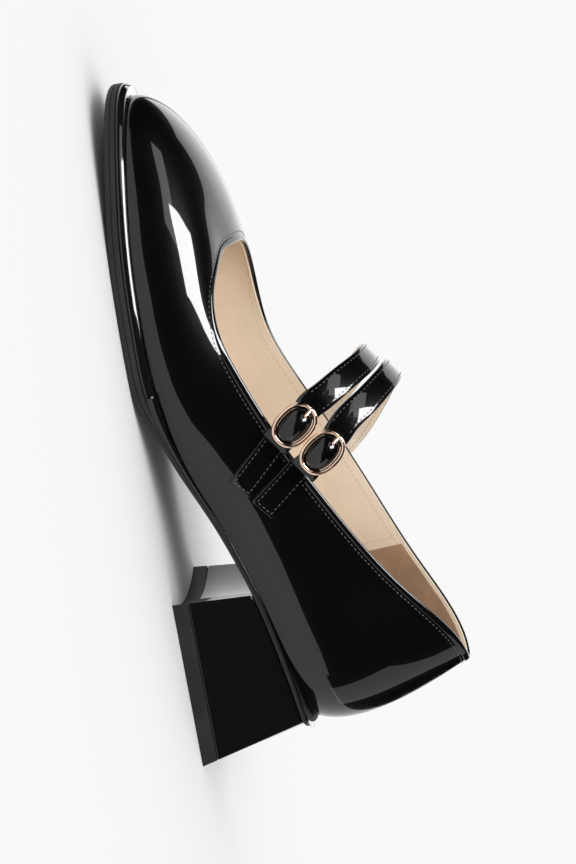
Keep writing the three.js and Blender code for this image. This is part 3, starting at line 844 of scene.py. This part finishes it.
def build_grip(settings, material):
    """Suede piece that lines the heel up to the topline, and the line of stitches ahead of it."""
    a = np.linspace(-1, 1, 61)
    k = np.linspace(0, 1, 34)
    u = np.mod(a * settings.grip_reach, RING)
    top = below_rim(u, 1.35, WALL)
    uu = np.repeat(u[:, None], len(k), 1)
    t = 0.05 + (top[:, None] - 0.05) * k[None, :]
    near = layer(uu, t, np.full(uu.shape, WALL + 0.03))
    far = layer(uu, t, np.full(uu.shape, WALL + 0.4))
    made = wall_piece("heel_grip", near, far, closed=False)
    weld(made)
    soften(made, 50, 0.15, 2)
    place(made, "insole_leather", material)
    rows = []
    for side in (1, -1):
        ahead = np.mod(side * (settings.grip_reach + 0.11), RING)
        rim = float(below_rim(np.array([ahead]), 3.2, WALL)[0])
        t = np.linspace(0.1, rim, 60)
        u = np.full(len(t), ahead)
        rows.append((layer(u, t, np.full(len(t), WALL)), -outside_normal(u, t)))
    return rows


def thread_row(name, line, out, closed, settings, material, slot):
    """A row of stitches along a line. out points away from the leather that they are sewn in."""
    i, f = evenly(line, closed, settings.pitch / MM)
    loop = np.vstack([line, line[:1]]) if closed else line
    ups = np.vstack([out, out[:1]]) if closed else out
    centres = loop[i] * (1 - f) + loop[i + 1] * f
    along = unit(loop[i + 1] - loop[i])
    normals = unit(ups[i] * (1 - f) + ups[i + 1] * f)
    made = thread_piece(name, centres, along, normals, settings.long / MM, settings.thread / MM)
    place(made, slot, material)


def build_topline_stitches(stitch, outer_thread, inner_thread):
    u = np.arange(RING * 20) / 20
    down = stitch.below_binding / MM
    t = below_rim(u, down)
    n = outside_normal(u, t)
    thread_row("topline_stitches", outside(u, t), n, True, stitch, outer_thread, "upper_patent")
    t = below_rim(u, down - 0.2, WALL)
    n = outside_normal(u, t)
    thread_row("lining_stitches", layer(u, t, np.full(len(u), WALL)), -n, True, stitch, inner_thread,
               "insole_leather")


# ---------------------------------------------------------------- sole

def build_outsole(settings, material):
    g = settings.groove / MM
    edge = [(0.9, 0), (0.45, 0.04), (0.18, 0.11), (0.1, 0.2), (0.1, 0.47), (0.1 + g, 0.5),
            (0.1 + g, 0.53), (0.1, 0.56), (0.1, 0.86), (0.2, 0.95), (0.6, 1)]
    loops = [(outline_pairs(SOLE_RING, inset), up) for inset, up in edge]

    def top(x):
        welt = welt_thick(x)
        return feather_z(x) - GAP - np.where(welt > 0.3, welt + GAP, 0)

    made = ladder_piece("outsole_fine", loops, underside_z, top)
    soften(made, 42)
    place(made, "outsole_rubber", material, ["outsole"])


def build_rand(material):
    """Lacquered edge between the outsole and the upper along the waist and the heel seat."""
    rows = WELT_FIRST_ROW + 1
    half = len(SOLE_RING) // 2
    u = np.arange(rows * 10 + 1) / 10

    def sides(inset):
        def at(v):
            return ring_at(SOLE_RING, v)[:, :2] - outward(SOLE_RING, v) * inset
        return at(u), at(2 * half - u)

    edge = [(1.6, 0.62), (0.02, 0.62), (-0.12, 0.68), (-0.12, 0.9), (0.05, 1.0), (1.6, 1.04)]
    points, faces = [], []
    for side in (0, 1):
        start = len(points)
        grid = []
        for inset, up in edge:
            xy = sides(inset)[side]
            x = xy[:, :1]
            z = underside_z(x) * (1 - up) + (feather_z(x) - GAP) * up
            grid.append(np.hstack([xy, z]))
        grid = np.stack(grid, 1)
        points.extend(grid.reshape(-1, 3))
        faces += grid_faces(len(u), len(edge), start, False, True, flip=bool(side))
        faces.append([start + k for k in range(len(edge))])
        end = start + (len(u) - 1) * len(edge)
        faces.append([end + k for k in reversed(range(len(edge)))])
    made = new_piece("waist_edge", points, faces)
    weld(made)
    soften(made, 42)
    place(made, "welt_gloss", material)


def build_welt(material):
    edge = [(0.5, 0), (0.36, 0.06), (0.28, 0.18), (0.36, 0.34), (1.42, 0.84), (1.66, 0.95), (2.2, 1)]
    loops = [(outline_pairs(SOLE_RING, inset, WELT_FIRST_ROW), up) for inset, up in edge]
    made = ladder_piece("welt_fine", loops, lambda x: feather_z(x) - GAP - welt_thick(x),
                        lambda x: feather_z(x) - GAP)
    soften(made, 42)
    place(made, "welt_gloss", material, ["welt"])


def build_insole(material, dark):
    ring = LAST_RING[:, :2]
    inset = WALL + INSOLE_EASE
    edge = [(inset, 0), (inset, 0.6), (inset + 0.15, 0.85), (inset + 0.55, 1)]
    loops = [(outline_pairs(ring, i), up) for i, up in edge]
    made = ladder_piece("insole_fine", loops, feather_z, lambda x: feather_z(x) + INSOLE_THICK)
    soften(made, 42)
    place(made, "insole_leather", material, ["insole"])
    # Perforations: flat discs just above the insole's top in a darkened copy of the insole colour, painted
    # shade that stands in for the holes.
    u = RING - np.linspace(1.2, 11.0, 400)
    line = ring_at(ring, u) - outward(ring, u) * (inset + DOT_INSET)
    line = np.hstack([line, feather_z(line[:, :1]) + INSOLE_THICK + 0.03])
    i, f = evenly(line, False, DOT_PITCH)
    centres = line[i] * (1 - f) + line[i + 1] * f
    points, faces = [], []
    for c in centres:
        start = len(points)
        points.append(c)
        for k in range(10):
            a = 2 * math.pi * k / 10
            x, y = c[0] + DOT_RADIUS * math.cos(a), c[1] + DOT_RADIUS * math.sin(a)
            points.append(np.array([x, y, float(feather_z(x)) + INSOLE_THICK + 0.03]))
        faces += [[start, start + 1 + k, start + 1 + (k + 1) % 10] for k in range(10)]
    dots = new_piece("insole_perforation", points, faces)
    place(dots, "insole_leather", dark)


# ---------------------------------------------------------------- heel

def heel_point(along, across, level):
    at = HEEL_FLOOR * (1 - level) + HEEL_SEAT * level
    back = at[0] - at[1] * (1 - across * across)
    front = at[3] - BREAST_HOLLOW * (1 - across * across)
    return np.array([back + (front - back) * along, across * (at[2] + (at[4] - at[2]) * along)])


def heel_solid(name, low_z, high_z, long=24, wide=28):
    points, faces = [], []

    def plate(z_at):
        start = len(points)
        for i in range(long + 1):
            for k in range(wide + 1):
                across = -1 + 2 * k / wide
                p = heel_point(i / long, across, 0)
                for _ in range(4):
                    p = heel_point(i / long, across, float(z_at(p[0])) / HEEL_SEAT_LEVEL)
                points.append([p[0], p[1], float(z_at(p[0]))])
        return start

    low, high = plate(low_z), plate(high_z)
    w = wide + 1
    faces += grid_faces(long + 1, w, low)
    faces += grid_faces(long + 1, w, high, flip=True)
    for i in range(long):
        for k, turn in ((0, False), (wide, True)):
            a, b = i * w + k, (i + 1) * w + k
            face = [low + a, high + a, high + b, low + b]
            faces.append(face[::-1] if turn else face)
    for k in range(wide):
        for i, turn in ((0, True), (long, False)):
            a, b = i * w + k, i * w + k + 1
            face = [low + a, high + a, high + b, low + b]
            faces.append(face[::-1] if turn else face)
    made = new_piece(name, points, faces)
    weld(made)
    return made


def build_heel(settings, lacquer, rubber):
    block = heel_solid("heel_block_fine", lambda x: LIFT_THICK + 0.12,
                       lambda x: underside_z(x) - GAP)
    soften(block, 35, settings.edge / MM, 4)
    place(block, "heel_gloss", lacquer, ["heel_block"])
    lift = heel_solid("top_lift_fine", lambda x: 0.0, lambda x: LIFT_THICK)
    soften(lift, 35, 0.3, 3)
    place(lift, "lift_rubber", rubber, ["top_lift"])


# ---------------------------------------------------------------- straps, tabs and buckles

def strap_frame(which, steps=8):
    """Stations along a strap: centres, across, up, width."""
    bx, by, bz = BUCKLES[which]
    lean_x, lean_z = math.sin(STRAP_LEAN), math.cos(STRAP_LEAN)
    run = [[bx + a * lean_x + aside * lean_z, by - a * math.sin(BUCKLE_TILT) + lift,
            bz + a * lean_z - aside * lean_x, width] for a, lift, width, aside in BUCKLE_RUN]
    rows = spline_through(run + STRAPS[which], steps)
    p, width = rows[:, :3], rows[:, 3]
    tangent = unit(np.gradient(p, axis=0))
    lean = np.array([-math.cos(STRAP_LEAN), 0, math.sin(STRAP_LEAN)])
    across = unit(lean - tangent * (tangent @ lean)[:, None])
    up = np.cross(tangent, across)
    middle = len(p) // 2
    if up[middle, 2] < 0:
        up, across = -up, -across
    return p, across, up, width


def build_strap(which, strap, stitch, patent, backing, thread, pale_thread, dark):
    p, across, up, width = strap_frame(which)
    full = STRAP_WIDTH
    low, high = -STRAP_THICK / 2, STRAP_THICK / 2
    split = low + strap.backing / MM
    section = rounded_bar(full, split + 0.02, high, 0.5, strap.crown / MM)
    face = swept_piece("strap_" + which + "_face", p, across, up, section, scale=width / full)
    weld(face)
    soften(face, 50)
    place(face, "strap_patent", patent, ["strap_" + which])
    under = rounded_bar(full - 0.25, low, split, 0.15)
    back = swept_piece("strap_" + which + "_backing", p, across, up, under, scale=width / full)
    weld(back)
    soften(back, 50)
    place(back, "insole_leather", backing)
    run = np.concatenate([[0], np.cumsum(np.linalg.norm(np.diff(p, axis=0), axis=1))])
    edge = stitch.from_edge / MM
    sewn = slice(int(np.searchsorted(run, UNSEWN)), None)
    for name, side in (("upper", 1), ("lower", -1)):
        off = side * (width / 2 - edge)
        lift = high + strap.crown / MM * (1 - (off / (full / 2)) ** 2)
        line = p + across * off[:, None] + up * lift[:, None]
        thread_row(f"strap_{which}_stitches_{name}", line[sewn], up[sewn], False, stitch, thread,
                   "strap_patent")
        line = p + across * off[:, None] + up * (low - 0.02)
        thread_row(f"strap_{which}_under_stitches_{name}", line[sewn], -up[sewn], False, stitch,
                   pale_thread, "insole_leather")
    build_hole(which, strap, p, across, up, run, high, dark)


def build_hole(which, strap, p, across, up, run, high, dark):
    """Oval adjusting hole: a soft lip round a flat near-black disc, painted shade that stands in for the
    hole's depth.
    """
    at = run[-1] * strap.hole_at
    here = np.array([np.interp(at, run, p[:, c]) for c in range(3)])
    i = int(np.searchsorted(run, at))
    tangent, side, out = unit(p[i + 1] - p[i - 1]), across[i], up[i]
    long, wide = strap.hole / MM / 2, strap.hole / MM / 2 * 0.55
    lift = high + strap.crown / MM
    rings = [(1.28, -0.02), (1.16, 0.10), (1.04, 0.05), (0.98, -0.1), (0.9, -0.25)]
    points, n = [], 24
    for scale, rise in rings:
        for m in range(n):
            a = 2 * math.pi * m / n
            points.append(here + tangent * (long * scale * math.cos(a))
                          + side * (wide * scale * math.sin(a)) + out * (lift + rise))
    faces = grid_faces(len(rings), n, 0, False, True)
    lip = new_piece(f"strap_{which}_hole_lip", points, faces)
    place(lip, "strap_patent", dark[0])
    # The hole is not cut: this disc sits just above the strap in near-black matte, painted shade for the
    # hole.
    well = [here + tangent * (long * math.cos(2 * math.pi * m / n))
            + side * (wide * math.sin(2 * math.pi * m / n)) + out * (lift + 0.045) for m in range(n)]
    made = new_piece(f"strap_{which}_hole", well, [list(range(n))])
    place(made, "strap_patent", dark[1])


def on_quarter(x, z):
    """Ring place and height share of a point of the outer quarter."""
    u, t = 5.0, 0.5
    span = 1.0
    while span > 0.001:
        a = u + np.arange(-6, 7) * span / 3
        b = np.clip(t + np.arange(-6, 7) * span / 12, 0, 1)
        aa, bb = np.meshgrid(a, b, indexing="ij")
        p = outside(aa, bb)
        miss = np.hypot(p[..., 0] - x, p[..., 2] - z)
        k = np.unravel_index(np.argmin(miss), miss.shape)
        u, t = aa[k], bb[k]
        span /= 3
    return u, t


def build_tab(which, stitch, patent, thread):
    x, z, to_x, to_z = TABS[which]
    run = np.array([to_x - x, to_z - z])
    long = np.linalg.norm(run)
    side = np.array([-run[1], run[0]]) / long

    def spot(along, off):
        return on_quarter(x + run[0] * along + side[0] * off, z + run[1] * along + side[1] * off)

    def grid(rows, columns, width):
        places = [[spot(i / rows, width * (k / columns - 0.5)) for k in range(columns + 1)]
                  for i in range(rows + 1)]
        return np.array(places)

    rows, columns = 14, 8
    g = grid(rows, columns, TAB_WIDTH)
    p = outside(g[..., 0], g[..., 1])
    n = outside_normal(g[..., 0], g[..., 1])
    made = wall_piece(f"tab_{which}_fine", p + n * (GAP + TAB_THICK), p + n * 0.02, closed=False)
    weld(made)
    soften(made, 40, 0.35, 3)
    place(made, "tab_patent", patent, ["tab_" + which])
    e = stitch.from_edge / MM * 0.9
    half = TAB_WIDTH / 2 - e
    start = e / long
    path = [(a, -half) for a in np.linspace(0.97, start, 14)]
    path += [(start, b) for b in np.linspace(-half, half, 8)[1:-1]]
    path += [(a, half) for a in np.linspace(start, 0.97, 14)]
    places = np.array([spot(a, b) for a, b in path])
    n = outside_normal(places[:, 0], places[:, 1])
    line = outside(places[:, 0], places[:, 1]) + n * (GAP + TAB_THICK + 0.02)
    thread_row(f"tab_{which}_stitches", line, n, False, stitch, thread, "tab_patent")


def buckle_axes():
    """Along the strap, across it, and out of the buckle's plane."""
    tilt = BUCKLE_TILT
    out = np.array([0, math.cos(tilt), math.sin(tilt)])
    up = np.array([0, -math.sin(tilt), math.cos(tilt)])
    ahead = np.array([1.0, 0, 0])
    along = up * math.cos(STRAP_LEAN) + ahead * math.sin(STRAP_LEAN)
    across = up * math.sin(STRAP_LEAN) - ahead * math.cos(STRAP_LEAN)
    return along, across, out


def buckle_oval(angle, half_long, half_across):
    """Squared oval of the buckle about its middle."""
    along, across, _ = buckle_axes()
    c, s = np.cos(angle), np.sin(angle)
    return (across * (half_across * np.sign(c) * np.abs(c) ** OVAL)[:, None]
            + along * (half_long * np.sign(s) * np.abs(s) ** OVAL)[:, None])


def build_buckle(which, metal):
    along, across, out = buckle_axes()
    centre = np.array(BUCKLES[which])
    steps, sides = 112, 18
    half_long, half_across = (BUCKLE_LONG - WIRE) / 2, (BUCKLE_ACROSS - WIRE) / 2
    half = half_long, half_across
    angles = 2 * np.pi * (np.arange(steps) + 0.5) / steps
    p = buckle_oval(angles, *half)
    tangent = unit(buckle_oval(angles + 0.02, *half) - buckle_oval(angles - 0.02, *half))
    side = np.cross(tangent, out)
    turn = 2 * np.pi * np.arange(sides) / sides
    section = np.stack([np.cos(turn), np.sin(turn)], 1) * WIRE / 2
    ring = swept_piece(f"buckle_{which}_fine", centre + p, side, np.tile(out, (steps, 1)), section,
                       closed=True)
    weld(ring)
    place(ring, "buckle_metal", metal, ["buckle_" + which])
    build_prong(which, centre, along, across, out, half_long, metal)


def build_swell(which, material):
    """Domed patent swell of the strap that fills the buckle."""
    out = buckle_axes()[2]
    centre = np.array(BUCKLES[which])
    inside = WIRE + 0.12
    around, rings = 96, 22
    angle = 2 * np.pi * np.arange(around) / around
    edge = buckle_oval(angle, BUCKLE_LONG / 2 - inside, BUCKLE_ACROSS / 2 - inside)
    points = [centre + out * 3.75]
    for k in range(1, rings + 1):
        reach = math.sin(math.pi / 2 * k / rings)
        rise = -0.4 + 4.15 * (1 - reach**2.3) ** 0.8
        points.extend(centre + edge * reach + out * rise)
    points.extend(centre + edge * 0.97 - out * 1.6)
    faces = [[0, 1 + k, 1 + (k + 1) % around] for k in range(around)]
    faces += grid_faces(rings + 1, around, 1, False, True)
    last = 1 + rings * around
    faces.append([last + k for k in reversed(range(around))])
    made = new_piece(f"strap_{which}_swell", points, faces)
    weld(made)
    soften(made, 60)
    place(made, "strap_patent", material)


def build_prong(which, centre, along, across, out, half_long, metal):
    """Short pin with rounded ends, a little wider across than deep."""
    axis = along * math.cos(PRONG_LEAN) + out * math.sin(PRONG_LEAN)
    normal = out * math.cos(PRONG_LEAN) - along * math.sin(PRONG_LEAN)
    thin = PRONG_THICK / 2
    middle = centre + along * (half_long - 1.4) + out * (WIRE / 2 + thin + 1.1)
    stations = np.linspace(-1, 1, 21)
    reach = PRONG_LONG / 2 + thin
    past = np.clip((np.abs(stations) * reach - PRONG_LONG / 2) / thin, 0, 0.985)
    radius = thin * np.sqrt(1 - past**2)
    turn = 2 * np.pi * np.arange(16) / 16
    rings = []
    for s, r in zip(stations, radius):
        c = middle + axis * (s * reach)
        rings.append([c + across * (r * 1.05 * math.cos(a)) + normal * (r * math.sin(a)) for a in turn])
    points = np.array(rings).reshape(-1, 3)
    faces = grid_faces(21, 16, 0, False, True)
    faces += [list(range(16))[::-1], [20 * 16 + k for k in range(16)]]
    made = new_piece(f"prong_{which}_fine", points, faces)
    weld(made)
    place(made, "buckle_metal", metal, ["prong_" + which])


# ---------------------------------------------------------------- stage

def softbox(name, azimuth, elevation, wide, tall, brightness, away=1.6):
    """Soft light seen from the shoe at an azimuth and elevation, its sides given as angles."""
    a, e = math.radians(azimuth), math.radians(elevation)
    out = Vector((math.cos(e) * math.cos(a), math.cos(e) * math.sin(a), math.sin(e)))
    data = bpy.data.lights.new(name, "AREA")
    data.shape = "RECTANGLE"
    data.size = 2 * away * math.tan(math.radians(wide / 2))
    data.size_y = 2 * away * math.tan(math.radians(tall / 2))
    data.energy = brightness * math.pi * data.size * data.size_y
    made = bpy.data.objects.new(name, data)
    made.location = Vector((0.1, 0.0, 0.04)) + out * away
    made.rotation_mode = "QUATERNION"
    made.rotation_quaternion = (-out).to_track_quat("-Z", "Y")
    made.visible_camera = False
    made.visible_diffuse = False
    bpy.context.scene.collection.objects.link(made)


def build_stage(settings):
    floor = bpy.data.meshes.new("studio_floor")
    floor.from_pydata([(-60, -60, 0), (60, -60, 0), (60, 60, 0), (-60, 60, 0)], [], [(0, 1, 2, 3)])
    made = bpy.data.objects.new("studio_floor", floor)
    bpy.context.scene.collection.objects.link(made)
    s = Shader("studio_floor_paint")
    cloud = s.noise(3.0, 2.0, 0.5, s.place())
    s.set(Base_Color=(*settings.floor_tone, 1), Roughness=s.span(cloud, 0.3, 0.7, 0.82, 0.9),
          Specular_IOR_Level=0.0)
    floor.materials.append(s.material)

    world = bpy.data.worlds.new("studio_world")
    bpy.context.scene.world = world
    world.use_nodes = True
    background = world.node_tree.nodes["Background"]
    background.inputs["Color"].default_value = (1, 1, 1, 1)
    background.inputs["Strength"].default_value = settings.sky
    world.cycles_visibility.glossy = False

    sun = bpy.data.lights.new("soft_sun", "SUN")
    sun.energy = settings.sun
    sun.angle = math.radians(40)
    made = bpy.data.objects.new("soft_sun", sun)
    made.rotation_mode = "QUATERNION"
    made.rotation_quaternion = Vector((-0.2, -0.9, -0.9)).to_track_quat("-Z", "Y")
    made.visible_glossy = False
    bpy.context.scene.collection.objects.link(made)

    softbox("key_above", 67, 62, 19, 25, settings.key)
    softbox("key_toe", 45, 47, 26, 13, settings.key * 0.09)
    softbox("inner_side", -97, 30, 66, 54, settings.fill)
    softbox("behind_heel", 172, 15, 32, 32, settings.fill * 0.5)
    softbox("low_front", 82, 2.25, 112, 4.5, 0.95, 20.0)


def build_camera():
    """Low view of the outer side, rolled so that the toe points up the frame."""
    azimuth, elevation, roll = math.radians(82), math.radians(7), math.radians(80.85)
    look = Vector((0.095, 0.0, 0.035))
    d = Vector((math.cos(elevation) * math.cos(azimuth), math.cos(elevation) * math.sin(azimuth),
                math.sin(elevation)))
    right = Vector((0, 0, 1)).cross(d).normalized()
    up = d.cross(right)
    turned_right = right * math.cos(roll) + up * math.sin(roll)
    turned_up = right * -math.sin(roll) + up * math.cos(roll)
    data = bpy.data.cameras.new("camera")
    data.sensor_fit = "AUTO"
    data.sensor_width = 36
    data.lens = 147.4
    data.shift_x, data.shift_y = 0.0488, -0.0312
    data.clip_start, data.clip_end = 0.05, 200
    made = bpy.data.objects.new("camera", data)
    bpy.context.scene.collection.objects.link(made)
    rotation = Matrix((turned_right, turned_up, d)).transposed().to_4x4()
    made.matrix_world = Matrix.Translation(look + d * 1.3) @ rotation
    bpy.context.scene.camera = made
    view = bpy.context.scene.view_settings
    view.view_transform = "Standard"
    view.look = "None"
    view.exposure = 0.0


# ---------------------------------------------------------------- operators

def cached(name, make):
    found = bpy.data.materials.get(name)
    return found or make()


def patent(scene):
    s = scene.shoe_upper
    return cached("patent_black", lambda: patent_material("patent_black", tuple(s.patent), s.gloss))


def lining_leather(scene):
    tone = tuple(scene.shoe_upper.lining_tone)
    return cached("lining_cream", lambda: lining_material("lining_cream", tone, 0.55))


def outer_thread(scene):
    tone = tuple(scene.shoe_stitch.outer_tone)
    return cached("thread_grey", lambda: thread_material("thread_grey", tone))


def inner_thread(scene):
    tone = tuple(scene.shoe_stitch.inner_tone)
    return cached("thread_cream", lambda: thread_material("thread_cream", tone, 0.6))


def lacquer(scene):
    tone = tuple(scene.shoe_sole.edge_gloss)
    return cached("lacquer_edge", lambda: lacquer_material("lacquer_edge", tone, 0.05))


class Build(bpy.types.Operator):
    bl_options = {"REGISTER", "UNDO"}


class SHOE_OT_upper(Build):
    """Build the patent upper with its bound topline and heel seam"""
    bl_idname = "shoe.upper"
    bl_label = "Upper"

    def execute(self, context):
        build_upper(context.scene.shoe_upper, patent(context.scene))
        build_binding(context.scene.shoe_upper, patent(context.scene))
        return {"FINISHED"}


class SHOE_OT_lining(Build):
    """Build the lining and the suede heel grip"""
    bl_idname = "shoe.lining"
    bl_label = "Lining and heel grip"

    def execute(self, context):
        scene = context.scene
        build_lining(scene.shoe_upper, lining_leather(scene))
        suede = suede_material("grip_suede", tuple(scene.shoe_upper.grip_tone))
        rows = build_grip(scene.shoe_upper, suede)
        for side, (line, out) in zip(("outer", "inner"), rows):
            thread_row(f"lining_seam_stitches_{side}", line, out, False, scene.shoe_stitch,
                       inner_thread(scene), "insole_leather")
        return {"FINISHED"}


class SHOE_OT_stitching(Build):
    """Sew the rows of stitches along the topline, outside and inside"""
    bl_idname = "shoe.stitching"
    bl_label = "Topline stitching"

    def execute(self, context):
        scene = context.scene
        build_topline_stitches(scene.shoe_stitch, outer_thread(scene), inner_thread(scene))
        return {"FINISHED"}


class SHOE_OT_sole(Build):
    """Build the outsole, its lacquered waist edge and the welt"""
    bl_idname = "shoe.sole"
    bl_label = "Outsole and welt"

    def execute(self, context):
        scene = context.scene
        rubber = rubber_material("outsole_black", tuple(scene.shoe_sole.rubber), 0.62)
        build_outsole(scene.shoe_sole, rubber)
        build_rand(lacquer(scene))
        build_welt(lacquer(scene))
        return {"FINISHED"}


class SHOE_OT_insole(Build):
    """Build the insole and its line of perforations"""
    bl_idname = "shoe.insole"
    bl_label = "Insole"

    def execute(self, context):
        tone = tuple(context.scene.shoe_sole.sock)
        leather = lining_material("insole_cream", tone, 0.5, 620.0, 0.15)
        # The perforations' colour is the insole colour darkened to 0.35: painted shade for the holes.
        dark = suede_material("perforation_painted_shade", tuple(c * 0.35 for c in tone))
        build_insole(leather, dark)
        return {"FINISHED"}


class SHOE_OT_heel(Build):
    """Build the lacquered heel block and its top lift"""
    bl_idname = "shoe.heel"
    bl_label = "Heel"

    def execute(self, context):
        heel = context.scene.shoe_heel
        gloss = lacquer_material("heel_lacquer", tuple(heel.lacquer), 0.03)
        rubber = rubber_material("lift_black", tuple(heel.lift), 0.5)
        build_heel(heel, gloss, rubber)
        return {"FINISHED"}


class SHOE_OT_straps(Build):
    """Build both straps with their backing, stitches and adjusting holes"""
    bl_idname = "shoe.straps"
    bl_label = "Straps"

    def execute(self, context):
        scene = context.scene
        # Near-black matte material for the disc in each adjusting hole: painted shade for the hole.
        well = suede_material("hole_painted_shade", (0.002, 0.002, 0.002))
        for which in ("front", "rear"):
            build_strap(which, scene.shoe_strap, scene.shoe_stitch, patent(scene),
                        lining_leather(scene), outer_thread(scene), inner_thread(scene),
                        (patent(scene), well))
        return {"FINISHED"}


class SHOE_OT_tabs(Build):
    """Build the two stitched tabs on the outer quarter"""
    bl_idname = "shoe.tabs"
    bl_label = "Tabs"

    def execute(self, context):
        scene = context.scene
        for which in ("front", "rear"):
            build_tab(which, scene.shoe_stitch, patent(scene), outer_thread(scene))
        return {"FINISHED"}


class SHOE_OT_buckles(Build):
    """Build the two oval wire buckles and their prongs"""
    bl_idname = "shoe.buckles"
    bl_label = "Buckles"

    def execute(self, context):
        buckle = context.scene.shoe_buckle
        metal = metal_material("rose_gold", tuple(buckle.metal), buckle.rough)
        for which in ("front", "rear"):
            build_buckle(which, metal)
            build_swell(which, patent(context.scene))
        return {"FINISHED"}


class SHOE_OT_stage(Build):
    """Set the studio floor, the soft lights and the camera"""
    bl_idname = "shoe.stage"
    bl_label = "Studio"

    def execute(self, context):
        build_stage(context.scene.shoe_stage)
        build_camera()
        return {"FINISHED"}


OPERATORS = (SHOE_OT_upper, SHOE_OT_lining, SHOE_OT_stitching, SHOE_OT_sole, SHOE_OT_insole,
             SHOE_OT_heel, SHOE_OT_straps, SHOE_OT_tabs, SHOE_OT_buckles, SHOE_OT_stage)
SETTINGS = {
    "shoe_upper": UpperSettings,
    "shoe_stitch": StitchSettings,
    "shoe_sole": SoleSettings,
    "shoe_heel": HeelSettings,
    "shoe_strap": StrapSettings,
    "shoe_buckle": BuckleSettings,
    "shoe_stage": StageSettings,
}


class SHOE_PT_parts(bpy.types.Panel):
    """Parts of the shoe and what can be set on them"""
    bl_idname = "SHOE_PT_parts"
    bl_label = "Mary Jane Shoe"
    bl_space_type = "VIEW_3D"
    bl_region_type = "UI"
    bl_category = "Shoe"

    def draw(self, context):
        layout = self.layout
        for operator in OPERATORS:
            layout.operator(operator.bl_idname)
        for group in SETTINGS:
            box = layout.box()
            settings = getattr(context.scene, group)
            for key in settings.bl_rna.properties.keys():
                if key not in ("rna_type", "name"):
                    box.prop(settings, key)


def register():
    for group in (*SETTINGS.values(), *OPERATORS, SHOE_PT_parts):
        bpy.utils.register_class(group)
    for name, group in SETTINGS.items():
        setattr(bpy.types.Scene, name, bpy.props.PointerProperty(type=group))


def unregister():
    for name in SETTINGS:
        delattr(bpy.types.Scene, name)
    for group in reversed((*SETTINGS.values(), *OPERATORS, SHOE_PT_parts)):
        bpy.utils.unregister_class(group)


def main():
    register()
    for operator in (bpy.ops.shoe.upper, bpy.ops.shoe.lining, bpy.ops.shoe.stitching,
                     bpy.ops.shoe.sole, bpy.ops.shoe.insole, bpy.ops.shoe.heel, bpy.ops.shoe.straps,
                     bpy.ops.shoe.tabs, bpy.ops.shoe.buckles, bpy.ops.shoe.stage):
        operator()


if __name__ == "__main__":
    main()
